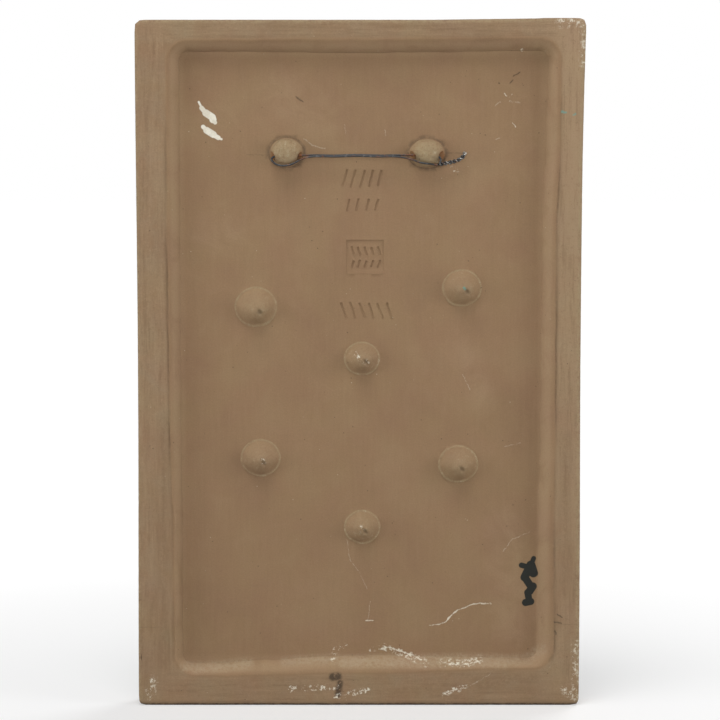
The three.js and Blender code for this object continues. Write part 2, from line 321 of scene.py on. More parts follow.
CHALKY_WEAR = (
    (2.0, (114.6, 74.8), (126.0, 75.8)),
    (1.4, (128.0, 74.0), (127.8, 52.0)),
    (1.8, (119.7, -304.7), (125.0, -308.6)),
    (0.8, (124.9, -276.0), (125.3, -304.0)),
    (1.6, (-117.3, -299.8), (-118.5, -307.6)),
)
TURQUOISE_SPECKS = (
    (0.4, (115.1, 24.5), (117.5, 24.0)),
    (0.3, (121.9, 22.8), (123.0, 23.3)),
    (0.5, (60.4, -74.6), (61.2, -75.4)),
)

# Studio, in metres: the camera's aim alone is in millimetres, from the origin
WHITE = (1, 1, 1, 1)
FLOOR_RADIUS = 30.0
FLOOR_FADE = (0.345, 0.6)
FLOOR_GLOW = 0.36
BACKDROP_GLOW = 1.02
SOFT_SKY = 0.21
LAMPS = (
    ("key", (-0.2, -0.6, 1.5), 0.8, 13.0),
    ("front", (-0.2, -1.7, 0.25), 1.2, 8.0),
    ("left_side", (-1.5, -0.55, 0.25), 0.8, 8.5),
    ("right_side", (1.5, -0.55, 0.25), 0.8, 10.0),
    ("back_key", (0.9, 1.3, 0.9), 1.2, 16.0),
)
SENSOR_WIDTH = 36.0
LENS = 122.8
CAMERA_AIM = (1.7, -3.5, -115.6)
CAMERA_DISTANCE = 1.392
CAMERA_TILT = math.radians(4.2)

# What note_wear writes for the clay's material: pale knobs, with a painted highlight on the bosses' lips;
# rust; painted shade in bores, creases, dents, seams and along the foot's edge; worn edges; rubbed walls with
# a painted highlight; and the rim
WEAR = ("pale", "rusty", "painted_shade", "worn", "rubbed", "rim")


def linear(hex_colour):
    """An sRGB hex colour as linear red, green, blue and 1 for alpha."""
    channels = [int(hex_colour[i:i + 2], 16) / 255 for i in (1, 3, 5)]
    curve = [c / 12.92 if c <= 0.04045 else ((c + 0.055) / 1.055) ** 2.4 for c in channels]
    return (*curve, 1.0)


def length_property(name, description, default):
    return bpy.props.FloatProperty(
        name=name, description=description, default=default * MM, min=0.0, precision=5,
        unit="LENGTH", subtype="DISTANCE",
    )


def colour_property(name, description, default):
    return bpy.props.FloatVectorProperty(
        name=name, description=description, default=linear(default), size=4, min=0.0, max=1.0,
        subtype="COLOR",
    )


class PlaqueSizes(bpy.types.PropertyGroup):
    grid_step: length_property("Grid step", "Spacing of the lines of the field's mesh", 2.4)
    edge_round: length_property("Edge rounding", "Radius of the slab's outer edges", 1.8)
    seam_depth: length_property("Seam depth", "Depth of the seam beside the long sides' walls", 0.5)
    stroke_depth: length_property("Stroke depth", "Depth of the pressed strokes", 0.38)
    swell: length_property("Swell", "How far the hand-smoothed clay rises and falls", 0.35)
    lumps: length_property("Lumps", "How far the small lumps of the clay rise", 0.07)
    wire_diameter: length_property("Wire diameter", "Thickness of the hanging wire", 1.1)
    chips: bpy.props.IntProperty(
        name="Edge chips", description="How many small chips the rim's outer edge has", default=34, min=0,
    )


class PlaqueColours(bpy.types.PropertyGroup):
    clay: colour_property("Clay", "Fired brown stoneware", "#8f7356")
    # The light clay is also the painted highlight on the recess walls.
    clay_light_and_highlight: colour_property("Light clay", "Rubbed and dusty clay", "#a0876a")
    # The dark clay also paints the shade towards the foot of the back.
    clay_dark_and_shade: colour_property("Dark clay", "Damp-looking, finger-marked clay", "#7d644b")
    clay_pale: colour_property("Pale clay", "Lugs and the tips of the bosses", "#9a8869")
    dust: colour_property("Dust", "Grey dust on the rim", "#8e8069")
    # The pale dust is also a painted highlight along the foot's wall.
    pale_dust_and_highlight: colour_property("Pale dust", "Whitish bloom on the foot's wall", "#b5a88e")
    # The pits' colour also paints the shade in bores, creases, dents, seams and along the foot's edge.
    pit: colour_property("Pits", "Open pores and scratches that hold dirt", "#41352a")
    # The chalk is also the painted glints on the bosses' tips.
    chalk_and_glint: colour_property("Chalk", "Chips and scratches that show pale clay", "#ddd6c4")
    white_paint: colour_property("White paint", "Brush dab of white paint", "#e4dfd0")
    black_paint: colour_property("Black paint", "Brush dab of black paint", "#23241f")
    turquoise: colour_property("Turquoise", "Stray specks of glaze", "#5f9a90")
    rust: colour_property("Rust", "Stain in the lugs' holes and on the wire", "#96561f")
    glaze: colour_property("Glaze", "Matt glaze of the front panel", "#5f7d70")
    glaze_thin: colour_property("Thin glaze", "Where the glaze breaks over an edge", "#8a7a5c")
    steel: colour_property("Steel", "Oxidised steel wire", "#454648")
    # The bright steel also paints the glints on the tail's strands.
    steel_bright_and_glint: colour_property("Bright steel", "Cut ends and rubbed places of the wire", "#b5b2ac")
    floor: colour_property("Floor", "Pale studio floor", "#c4c4c4")


# ---------------------------------------------------------------- meshes

# A place along an outline: which side or end it is on, how far along it, and its turn if it is in a corner
Station = namedtuple("Station", "across up along turn")


def clamp(value, low=0.0, high=1.0):
    """A value held between two limits."""
    return min(high, max(low, value))


def near(distance, reach):
    """1 at no distance, falling softly to 0 past a reach."""
    return math.exp(-(distance / reach) ** 4)


def side_x(side, y):
    """The x of the slab's long side at a height: drawn in at the middle, and wider at the right's head."""
    rise = clamp((y - FOOT) / (HEAD - FOOT))
    flare = HEAD_FLARE * rise ** 6 if side > 0 else 0.0
    bulge = 0.5 * min(1.0, 4 * rise) if side > 0 else 0.0
    return CENTRE_X + side * (HALF_WIDTH - WAIST * math.sin(math.pi * rise) ** 2 + max(flare, bulge))


def end_y(side, x):
    """The y of the slab's head or foot: the head climbs a little towards its right end."""
    if side < 0:
        return FOOT
    start = CENTRE_X + HALF_WIDTH / 3
    climb = clamp((x - start) / (HALF_WIDTH * 2 / 3 - 6))
    return HEAD + HEAD_RISE * climb


def rounded_point(station, centre, half, corner):
    """Where a station lies on a rectangle with round corners."""
    straight = Vector((half.x - corner, half.y - corner))
    if station.turn is None:
        if station.across:
            return centre + Vector((station.across * half.x, station.along * straight.y))
        return centre + Vector((station.along * straight.x, station.up * half.y))
    out = Vector((math.cos(station.turn), math.sin(station.turn))) * corner + straight
    return centre + Vector((station.across * out.x, station.up * out.y))


def slab_point(station, inset):
    """Where a station lies on the slab's outline, drawn in by an inset."""
    straight = Vector((FIELD_HALF.x - FIELD_CORNER, FIELD_HALF.y - FIELD_CORNER))
    if station.turn is None:
        if station.across:
            y = FIELD_CENTRE.y + station.along * straight.y
            return Vector((side_x(station.across, y) - station.across * inset, y))
        x = FIELD_CENTRE.x + station.along * straight.x
        return Vector((x, end_y(station.up, x) - station.up * inset))
    centre = FIELD_CENTRE + Vector((station.across * straight.x, station.up * straight.y))
    share = station.turn / (math.pi / 4) - 1
    turn = (1 + math.copysign(abs(share) ** CORNER_BIAS, share)) * math.pi / 4
    power = HEAD_SQUARENESS if station.up > 0 else FOOT_SQUARENESS
    y_end = end_y(station.up, centre.x + station.across * 25)
    reach_y = abs(y_end - centre.y) - inset
    point = Vector((0.0, 0.0))
    reach_x = abs(side_x(station.across, centre.y) - centre.x) - inset
    for _ in range(2):
        spread = (abs(math.cos(turn)) / reach_x) ** power + (abs(math.sin(turn)) / reach_y) ** power
        far = spread ** (-1 / power)
        point = Vector((station.across * math.cos(turn) * far, station.up * math.sin(turn) * far))
        reach_x = abs(side_x(station.across, centre.y + point.y) - centre.x) - inset
    return centre + point


def grid_counts(step):
    """How many even steps the field has across and up, besides its corners' lines."""
    return [round(2 * (half - FIELD_CORNER) / step) for half in FIELD_HALF]


def grid_lines(half, corner, count):
    """Where a grid's lines lie from -half to half: even in the middle, closer in the rounded corners."""
    inner = half - corner
    ends = [inner + corner * i / CORNER_LINES for i in range(1, CORNER_LINES + 1)]
    middle = [inner * (2 * i / count - 1) for i in range(count + 1)]
    return [-value for value in reversed(ends)] + middle + ends


def station_at(column, row, columns, rows):
    """The station of a grid's border vertex, by its column and row."""
    first, last_column, last_row = CORNER_LINES, columns - 1 - CORNER_LINES, rows - 1 - CORNER_LINES
    across = (column > last_column) - (column < first)
    up = (row > last_row) - (row < first)
    on_side = column in (0, columns - 1)
    on_end = row in (0, rows - 1)
    if across and up:
        from_side = (row - last_row if up > 0 else first - row) if on_side else CORNER_LINES
        from_end = (column - last_column if across > 0 else first - column) if on_end else CORNER_LINES
        share = (from_side + CORNER_LINES - from_end) / (2 * CORNER_LINES)
        return Station(across, up, 0.0, share * math.pi / 2)
    if on_side:
        return Station(1 if column else -1, 0, 2 * (row - first) / (last_row - first) - 1, None)
    return Station(0, 1 if row else -1, 2 * (column - first) / (last_column - first) - 1, None)


def round_corner(x, y, half, corner):
    """Bends the square corner of a grid into a round one, from its middle outwards."""
    local = Vector((abs(x) - (half.x - corner), abs(y) - (half.y - corner)))
    far = max(local)
    if min(local) <= 0 or far <= 0:
        return x, y
    turn = math.pi / 4 * (local.y / far if local.x >= local.y else 2 - local.x / far)
    out = Vector((half.x - corner, half.y - corner)) + far * Vector((math.cos(turn), math.sin(turn)))
    return math.copysign(out.x, x), math.copysign(out.y, y)


def shell(centre, half, corner, z, counts, rings, tint):
    """One side of the slab: a grid, and rings drawn outwards from its border.

    Each ring is a function that gives a station's place on it.
    """
    bm = bmesh.new()
    xs = grid_lines(half.x, corner, counts[0])
    ys = grid_lines(half.y, corner, counts[1])
    bmesh.ops.create_grid(bm, x_segments=len(xs) - 1, y_segments=len(ys) - 1, size=1.0)
    tag = bm.verts.layers.int.new("station")
    stations = []
    for vert in bm.verts:
        column = round((vert.co.x + 1) / 2 * (len(xs) - 1))
        row = round((vert.co.y + 1) / 2 * (len(ys) - 1))
        x, y = round_corner(xs[column], ys[row], half, corner)
        vert.co = (centre.x + x, centre.y + y, z)
        if vert.is_boundary:
            vert[tag] = len(stations)
            stations.append(station_at(column, row, len(xs), len(ys)))
    border = [edge for edge in bm.edges if edge.is_boundary]
    for ring in rings:
        made = bmesh.ops.extrude_edge_only(bm, edges=border)["geom"]
        for vert in made:
            if isinstance(vert, bmesh.types.BMVert):
                vert.co = ring(stations[vert[tag]])
        border = [edge for edge in made if isinstance(edge, bmesh.types.BMEdge) and edge.is_boundary]
    for face in bm.faces:
        face.material_index = tint(face)
    return bm


def stray(table, along, share):
    """How far a side's wall strays outwards at a place along it: at its foot for share 0, its crest for 1."""
    low, high = table[0], table[-1]
    for start, end in zip(table, table[1:]):
        if start.along <= along <= end.along:
            low, high = start, end
    part = clamp((along - low.along) / (high.along - low.along))
    part = part * part * (3 - 2 * part)
    foot = low.foot + (high.foot - low.foot) * part
    crest = low.crest + (high.crest - low.crest) * part
    return foot + (crest - foot) * share


def strayed(across, up, share):
    """How far the wall has strayed at a place, by its shares of the way to the field's sides and ends."""
    wave = noise.noise(Vector((across * 7.0, up * 12.0, 1.0 + share))) * STRAY_WAVE
    beside = stray(RIGHT_STRAY if across > 0 else LEFT_STRAY, up, share) + wave
    beyond = stray(HEAD_STRAY if up > 0 else FOOT_STRAY, across, share) + wave
    return Vector((across * abs(across) * beside, up * abs(up) * beyond))


def field_offset(station, offset):
    """A station's place on the field's outline, moved outwards, as the wall strays."""
    grown = Vector((FIELD_HALF.x + offset, FIELD_HALF.y + offset))
    point = rounded_point(station, FIELD_CENTRE, grown, FIELD_CORNER + offset)
    share = clamp(offset / CREST)
    return point + strayed(station.across or station.along, station.up or station.along, share)


def raised(point, z):
    return Vector((point.x, point.y, z))


def seam_share(station):
    """How open the seam is at a station: only beside the long sides, and closing here and there."""
    if not station.across or station.turn is not None:
        return 0.12
    ragged = noise.noise(Vector((station.along * 5.5, station.across * 7.3, 0.4)))
    return clamp(0.75 + 1.1 * ragged, 0.15)


def edge_gap(spot, right=1.0, left=1.0, foot=1.0):
    """How far a point lies from the nearest of the slab's sides, each distance stretched as asked."""
    return min(
        right * abs(side_x(1, spot.y) - spot.x), left * abs(spot.x - side_x(-1, spot.y)),
        abs(end_y(1, spot.x) - spot.y), foot * abs(spot.y - FOOT),
    )


def field_ring(offset, z):
    """A ring round the field, at an offset and a height."""
    return lambda station: raised(field_offset(station, offset), z)


def slab_ring(inset, z):
    """A ring inside the slab's outline, at an inset and a height."""
    return lambda station: raised(slab_point(station, inset), z)


def rings_between(inner, outer, count, z):
    """Even rings from an inner one, which is left out, to an outer one."""
    return [
        lambda station, share=i / count: raised(inner(station).xy.lerp(outer(station).xy, share), z)
        for i in range(1, count + 1)
    ]


def edge_rings(front, radius):
    """The rounded edge and half of the side, from the back's rim or from the front's border."""
    face_z = FRONT_Z if front else RIM_Z
    inward = 1 if front else -1
    rings = []
    for i in range(1, EDGE_STEPS + 1):
        turn = i / EDGE_STEPS * math.pi / 2
        inset = radius * (1 - math.sin(turn))
        z = face_z + inward * radius * (1 - math.cos(turn))
        rings.append(slab_ring(inset, z))
    start = face_z + inward * radius
    for i in range(1, SIDE_RINGS + 1):
        z = start + (MIDDLE_Z - start) * i / SIDE_RINGS
        rings.append(slab_ring(0.0, z))
    return rings


def back_rings(sizes):
    """The back from the field's border to the slab's side: wall, crest, seam and rim."""
    radius = sizes.edge_round / MM
    seam = sizes.seam_depth / MM
    rings = [field_ring(0.0, FIELD_Z)]
    for i in range(1, WALL_RINGS + 1):
        turn = CREST_ANGLE * i / WALL_RINGS
        lean = WALL_SPREAD * (0.35 * math.sin(turn) + 0.65 * (1 - math.cos(turn)))
        rings.append(field_ring(lean, FIELD_Z + WALL_DEPTH * math.sin(turn)))
    for out, open_share in SEAM_SECTION:
        rings.append(lambda station, out=out, opening=open_share * seam: raised(
            field_offset(station, CREST + out), RIM_Z - SHOULDER_DROP - opening * seam_share(station)))
    rim_start = field_ring(CREST + RIM_START, RIM_Z)
    rings.append(rim_start)
    rings += rings_between(rim_start, slab_ring(radius, RIM_Z), RIM_RINGS, RIM_Z)
    return rings + edge_rings(False, radius)


def channel_ring(inset, depth):
    """A ring of the front's channel, at an inset inwards from its outer outline."""
    share = inset / CHANNEL_WIDTH
    half = PANEL_HALF + Vector((1, 1)) * (CHANNEL_WIDTH - inset)
    corner = PANEL_CORNER * (2 - share)
    return lambda station: raised(rounded_point(station, PANEL_CENTRE, half, corner), FRONT_Z + depth)


def front_rings(sizes):
    """The front from the panel's border to the slab's side: channel, border and edge."""
    radius = sizes.edge_round / MM
    rings = [channel_ring(inset, depth) for inset, depth in CHANNEL_SECTION]
    rings += rings_between(channel_ring(0.0, 0.0), slab_ring(radius, FRONT_Z), BORDER_RINGS, FRONT_Z)
    return rings + edge_rings(True, radius)


def slab_mesh(sizes):
    """The slab as one closed mesh, its two sides met halfway through its thickness."""
    counts = grid_counts(sizes.grid_step / MM)
    inner_half = FIELD_HALF - Vector((1, 1)) * FIELD_MARGIN
    inner_corner = FIELD_CORNER - FIELD_MARGIN
    back = shell(FIELD_CENTRE, inner_half, inner_corner, FIELD_Z, counts, back_rings(sizes), lambda face: 0)
    glazed_half = PANEL_HALF + Vector((1, 1)) * (CHANNEL_WIDTH + 0.3)

    def glazed(face):
        out = face.calc_center_median().xy - PANEL_CENTRE
        return int(abs(out.x) < glazed_half.x and abs(out.y) < glazed_half.y)

    front = shell(PANEL_CENTRE, PANEL_HALF, PANEL_CORNER, FRONT_Z, counts, front_rings(sizes), glazed)
    half_mesh = bpy.data.meshes.new("front_half")
    front.to_mesh(half_mesh)
    front.free()
    back.from_mesh(half_mesh)
    bpy.data.meshes.remove(half_mesh)
    bmesh.ops.remove_doubles(back, verts=back.verts, dist=0.001)
    bmesh.ops.recalc_face_normals(back, faces=back.faces)
    return back


def turned(bm, outline, steps=ROUND_STEPS):
    """Turns an outline of (out, up) points about z into a closed form and returns its new vertices."""
    old = set(bm.verts)
    verts = [bm.verts.new((out, 0.0, up)) for out, up in outline]
    edges = [bm.edges.new(pair) for pair in zip(verts, verts[1:])]
    bmesh.ops.spin(
        bm, geom=verts + edges, cent=(0, 0, 0), axis=(0, 0, 1), dvec=(0, 0, 0), angle=2 * math.pi,
        steps=steps, use_merge=True, use_duplicate=False,
    )
    fresh = [vert for vert in bm.verts if vert not in old]
    bmesh.ops.remove_doubles(bm, verts=fresh, dist=0.0005)
    fresh = [vert for vert in bm.verts if vert not in old]
    faces = list({face for vert in fresh for face in vert.link_faces})
    bmesh.ops.recalc_face_normals(bm, faces=faces)
    return fresh


def add_boss(bm, boss, seed):
    """A wad of clay pressed on with the thumb: a thin lip, a cone and a blunt, pinched tip that leans."""
    outline = [(0.0, -ROOT), (boss.radius, -ROOT)]
    outline += [(out * boss.radius, up * boss.height) for out, up in BOSS_PROFILE]
    middle = Vector((boss.x, boss.y, FIELD_Z))
    pinch = Vector((boss.lean[0] + PINCH[0], boss.lean[1] + PINCH[1], boss.height))
    for vert in turned(bm, outline):
        height = max(0.0, vert.co.z / boss.height)
        out = vert.co.xy.length / boss.radius
        wobble = noise.noise(vert.co.normalized() * 1.6 + Vector((seed * 9.1, 0, 0)))
        lumps = noise.noise(vert.co * 0.45 + Vector((0, seed * 5.3, 0)))
        if vert.co.z > 0:
            vert.co.xy *= 1 + 0.07 * wobble * (0.3 + out)
            vert.co.xy += Vector(boss.lean) * height ** 1.5
            away = (vert.co - pinch).xy
            dent = near(math.hypot(away.x + 0.5 * away.y, 0.6 * away.y), 1.1)
            vert.co.z -= 0.3 * abs(lumps) * height + 1.1 * dent
        vert.co.x *= BOSS_WIDE
        vert.co += middle


def add_lug(bm, lug, seed):
    """A knob of clay on a thin collar, squeezed on in the leather-hard state."""
    outline = [(0.0, -ROOT), (lug.radius + COLLAR_WIDTH, -ROOT), (lug.radius + COLLAR_WIDTH, 0.0)]
    outline += [
        (lug.radius + COLLAR_WIDTH * 0.85, COLLAR_HEIGHT * 0.45),
        (lug.radius + COLLAR_WIDTH * 0.5, COLLAR_HEIGHT * 0.7),
        (lug.radius + COLLAR_WIDTH * 0.15, COLLAR_HEIGHT * 0.75),
    ]
    for i in range(2, LUG_RINGS + 1):
        up = math.sin(i / LUG_RINGS * math.pi / 2)
        out = (1 - up ** lug.squareness) ** (1 / lug.squareness) if up < 1 else 0.0
        outline.append((out * lug.radius, up * lug.height))
    for vert in turned(bm, outline):
        lumps = noise.noise(vert.co * 0.28 + Vector((seed * 7.7, 0, 0)))
        fine = noise.noise(vert.co * 0.9 + Vector((0, seed * 3.1, 0)))
        if vert.co.z > 0:
            vert.co.xy *= 1 + 0.05 * lumps
            vert.co.z -= (0.5 * abs(lumps) + 0.25 * abs(fine)) * min(1.0, vert.co.z / 3)
        vert.co.xy *= Vector((lug.wide, lug.tall))
        vert.co += Vector((lug.x, lug.y, FIELD_Z))


def add_hole(bm, lug):
    """What the piercing stick leaves through a lug: a round hole with torn, flared mouths."""
    mouth = lug.radius * lug.wide
    outline = [
        (0.0, -15.0), (HOLE_RADIUS + 3 * MOUTH_FLARE, -15.0), (HOLE_RADIUS + MOUTH_FLARE, -mouth),
        (HOLE_RADIUS + 0.25 * MOUTH_FLARE, 1.6 - mouth), (HOLE_RADIUS, 3.2 - mouth), (HOLE_RADIUS, 0.0),
        (HOLE_RADIUS, mouth - 3.2), (HOLE_RADIUS + 0.25 * MOUTH_FLARE, mouth - 1.6),
        (HOLE_RADIUS + MOUTH_FLARE, mouth), (HOLE_RADIUS + 3 * MOUTH_FLARE, 15.0), (0.0, 15.0),
    ]
    sideways = Matrix.Rotation(math.pi / 2, 4, "Y")
    for vert in turned(bm, outline, 20):
        spot = sideways @ vert.co
        spot.z = max(spot.z, 1.3 - HOLE_RISE)
        vert.co = spot + Vector((lug.x, lug.hole_y, FIELD_Z + HOLE_RISE))


def add_block(bm, width, height, depth, lean, x, y, surface, bevel):
    """A block with rounded edges, sunk by its depth into a surface: what a pressing tool fills."""
    made = bmesh.ops.create_cube(bm, size=1.0)["verts"]
    bmesh.ops.scale(bm, vec=(width, height, 2 * depth), verts=made)
    edges = list({edge for vert in made for edge in vert.link_edges})
    made = bmesh.ops.bevel(
        bm, geom=edges, offset=bevel, segments=3, profile=0.5, affect="EDGES", material=-1,
    )["verts"]
    place = Matrix.Translation((x, y, surface)) @ Matrix.Rotation(-lean, 4, "Z")
    bmesh.ops.transform(bm, matrix=place, verts=made)


def add_chips(bm, count):
    """Small blunt chips along the slab's outer edges, most of them on the back's right side and foot."""
    dice = random.Random(11)
    for i in range(count):
        place = dice.random()
        if i % 3 == 0:
            y = FOOT + place * (HEAD - FOOT)
            spot = Vector((side_x(1, y), y))
        elif i % 3 == 1:
            x = CENTRE_X + (2 * place - 1) * (HALF_WIDTH - 3)
            spot = Vector((x, FOOT if dice.random() < 0.7 else end_y(1, x)))
        else:
            y = FOOT + place * (HEAD - FOOT)
            spot = Vector((side_x(-1, y), y))
        z = FRONT_Z if i % 7 == 3 else RIM_Z
        size = dice.uniform(0.5, 1.35)
        stretch = Vector((dice.uniform(0.8, 1.8), dice.uniform(0.8, 1.8), 0.8)) * size
        matrix = (
            Matrix.Translation((spot.x, spot.y, z))
            @ Matrix.Rotation(dice.uniform(0, math.pi), 4, "Z")
            @ Matrix.Diagonal((*stretch, 1.0))
        )
        bmesh.ops.create_icosphere(bm, subdivisions=2, radius=1.0, matrix=matrix)


def hand_worked(bm, sizes):
    """Lets the smoothed clay swell and sink, always inwards, so that the slab keeps its outer size."""
    swell = sizes.swell / MM
    lumps = sizes.lumps / MM
    bm.normal_update()
    moves = []
    for vert in bm.verts:
        spot = vert.co
        broad = 0.5 + 0.5 * noise.noise(Vector((spot.x / 46, spot.y / 60, spot.z / 30)))
        drawn = 0.5 + 0.5 * noise.noise(Vector((spot.x / 9, spot.y / 34, spot.z / 9)) + Vector((7, 0, 0)))
        small = 0.5 + 0.5 * noise.noise(spot / 3.4)
        depth = swell * (0.7 * broad + 0.3 * drawn) + lumps * small
        facing = 0.15 + 0.85 * abs(vert.normal.z)
        from_edge = math.hypot(edge_gap(spot), spot.z - RIM_Z)
        nibble = 0.5 * max(0.0, noise.noise(spot / 2.6)) * near(from_edge, 1.6)
        moves.append(vert.normal * -(depth * facing + nibble))
    for vert, move in zip(bm.verts, moves):
        vert.co += move


def temporary(name, bm, materials):
    """A passing object, in millimetres, from a bmesh, with its materials."""
    mesh = bpy.data.meshes.new(name)
    for material in materials:
        mesh.materials.append(material)
    bm.to_mesh(mesh)
    bm.free()
    thing = bpy.data.objects.new(name, mesh)
    bpy.context.scene.collection.objects.link(thing)
    return thing


def combine(target, tool, operation):
    """Joins the tool to the target or cuts it away, and removes the tool."""
    modifier = target.modifiers.new(operation, "BOOLEAN")
    modifier.operation = operation
    modifier.solver = "MANIFOLD"
    modifier.object = tool
    depsgraph = bpy.context.evaluated_depsgraph_get()
    mesh = bpy.data.meshes.new_from_object(target.evaluated_get(depsgraph))
    if not mesh.polygons:
        raise RuntimeError(f"{operation} left nothing of {target.name}")
    target.modifiers.clear()
    target.data = mesh
    bpy.data.objects.remove(tool)


def clay_object(sizes, materials):
    """The whole clay body in millimetres: slab, bosses and lugs as one, with the marks pressed in."""
    body = temporary("body", slab_mesh(sizes), materials)
    knobs = bmesh.new()
    for seed, lug in enumerate(LUGS):
        add_lug(knobs, lug, seed)
    lugs = temporary("lugs", knobs, materials)
    holes = bmesh.new()
    for lug in LUGS:
        add_hole(holes, lug)
    combine(lugs, temporary("holes", holes, materials), "DIFFERENCE")
    wads = bmesh.new()
    for seed, boss in enumerate(BOSSES):
        add_boss(wads, boss, seed)
    combine(body, temporary("bosses", wads, materials), "UNION")
    combine(body, lugs, "UNION")
    plate = bmesh.new()
    add_block(plate, STAMP.width, STAMP.height, STAMP.depth, 0.0, STAMP.x, STAMP.y, FIELD_Z, 0.35)
    combine(body, temporary("stamp", plate, materials), "DIFFERENCE")
    strokes = bmesh.new()
    depth = sizes.stroke_depth / MM
    dice = random.Random(5)
    for row in STROKE_ROWS:
        inside = abs(row.y - STAMP.y) < STAMP.height / 2
        surface = FIELD_Z - (STAMP.depth if inside else 0.0)
        for i in range(row.count):
            long = row.length * dice.uniform(0.93, 1.05)
            lean = row.lean + dice.uniform(-0.05, 0.05)
            x = row.x + i * row.pitch + dice.uniform(-0.2, 0.2)
            y = row.y + dice.uniform(-0.3, 0.3)
            add_block(strokes, STROKE_WIDTH, long, depth, lean, x, y, surface, 0.75 * depth)
    combine(body, temporary("strokes", strokes, materials), "DIFFERENCE")
    if sizes.chips:
        chips = bmesh.new()
        add_chips(chips, sizes.chips)
        combine(body, temporary("chips", chips, materials), "DIFFERENCE")
    return body


def outside(local):
    """How far a point lies outside the field's straight outline."""
    out = Vector((abs(local.x) - FIELD_HALF.x + FIELD_CORNER, abs(local.y) - FIELD_HALF.y + FIELD_CORNER))
    if max(out) <= 0:
        return max(out) - FIELD_CORNER
    return Vector((max(0.0, out.x), max(0.0, out.y))).length - FIELD_CORNER


def past_field(flat):
    """How far a point lies outside the foot of the recess's wall, as the wall strays."""
    local = flat - FIELD_CENTRE
    across = clamp(local.x / (FIELD_HALF.x - FIELD_CORNER), -1.0)
    up = clamp(local.y / (FIELD_HALF.y - FIELD_CORNER), -1.0)
    share = clamp(outside(local) / CREST)
    return outside(local - strayed(across, up, share))


def lug_tones(spot, lug):
    """How pale and rusty a point is for a lug near it, and its painted shade in the bore and at the foot."""
    over = spot.z - FIELD_Z
    local = spot.xy - Vector((lug.x, lug.y))
    away = Vector((local.x / lug.wide, local.y / lug.tall)).length
    pale = near(away, lug.radius + 1.2) * clamp(over / 1.5)
    rusty = 0.0
    for side in (-1, 1):
        mouth = Vector((lug.x + side * (lug.radius * lug.wide - 1.2), lug.hole_y, FIELD_Z + HOLE_RISE - 0.6))
        rusty = max(rusty, near((spot - mouth).length, 2.8) * (over > 0.2))
    # Painted shade inside the bore
    bore = Vector((spot.y - lug.hole_y, over - HOLE_RISE)).length
    painted_shade = 0.9 * near(bore, HOLE_RADIUS + 0.35) * near(away, lug.radius + 0.8) * (over > 0.2)
    # Painted shade in the crease round the lug's foot
    foot = 0.6 * near(away - lug.radius - 0.9, 0.6) * near(over, 0.7)
    return pale, rusty, max(painted_shade, foot)


def boss_tones(spot, boss):
    """How pale, rusty and shaded a point is for a boss near it: a painted highlight on the lip, painted shade
    in the pinched dent.
    """
    over = spot.z - FIELD_Z
    local = spot.xy - Vector((boss.x, boss.y))
    local.x /= BOSS_WIDE
    tip = (local - Vector(boss.lean)).length
    pinched = (local - Vector(boss.lean) - Vector(PINCH)).length
    pale = 0.5 * near(tip, boss.radius * 0.6) * clamp(over / 4)
    if over > 0.1:
        # Painted highlight: a bright ring along the boss's lip, as if its edge caught the light
        lip = 0.8 * near(local.length - LIP * boss.radius, 0.6)
        pale = max(pale, 0.35 * near(local.length, boss.radius), lip)
    # Painted shade in the pinched dent near the tip
    return pale, 0.0, 0.45 * near(pinched, 1.2) * (over > 3)


def wear_at(spot):
    """How pale, rusty, shaded, worn, rubbed and rim-like a point is, each from 0 to 1: the shade is painted,
    and so is light on the walls and the bosses' lips.
    """
    pale, rusty, painted_shade, rubbed, rim = 0.0, 0.0, 0.0, 0.0, 0.0
    if FIELD_Z - 1 < spot.z < RIM_Z - 0.1:
        tones = [lug_tones(spot, lug) for lug in LUGS] + [boss_tones(spot, boss) for boss in BOSSES]
        pale, rusty, painted_shade = [max(values) for values in zip(*tones)]
    depth_gap = min(abs(spot.z - RIM_Z), abs(spot.z - FRONT_Z))
    worn = near(math.hypot(edge_gap(spot, right=0.8, left=1.5, foot=3.0), depth_gap), 1.8)
    if spot.z > FIELD_Z - 1:
        past = past_field(spot.xy)
        # The recess's wall band: rubbed clay, and a painted highlight for the side light the walls catch
        rubbed = near(past - CREST * 0.35, CREST * 0.42)
        rim = clamp((past - CREST) / 1.5)
        local = spot.xy - FIELD_CENTRE
        if abs(local.x) > FIELD_HALF.x - 4 and -FIELD_HALF.y < local.y < FIELD_HALF.y * 0.85:
            along = local.y / (FIELD_HALF.y - FIELD_CORNER)
            share = seam_share(Station(math.copysign(1, local.x), 0, along, None))
            # Painted shade in the seam between wall and rim
            painted_shade = max(painted_shade, 0.25 * share * near(past - CREST - 0.55, 0.8))
    # Painted shade along the foot's edge, where the rounded edge turns down into shadow
    painted_shade = max(painted_shade, near(math.hypot(spot.y - FOOT, 0.7 * depth_gap), 1.6))
    return pale, rusty, painted_shade, worn, rubbed, rim


def note_wear(mesh):
    """Writes each vertex's wear, painted shade and painted highlight into the mesh, for the clay's material.
    """
    wear = [wear_at(vertex.co) for vertex in mesh.vertices]
    for name, values in zip(WEAR, zip(*wear)):
        mesh.attributes.new(name, "FLOAT", "POINT").data.foreach_set("value", values)


def finish_piece(piece, name, node):
    """Names a piece, stands it up in the frame, smooths its shading, and ties it to the frame."""
    piece.name = name
    piece.data.name = name
    piece.data.transform(UPRIGHT)
    piece.data.polygons.foreach_set("use_smooth", [True] * len(piece.data.polygons))
    piece.data.set_sharp_from_angle(angle=math.radians(50))
    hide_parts(node)
    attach(piece, "root")


# ---------------------------------------------------------------- wire

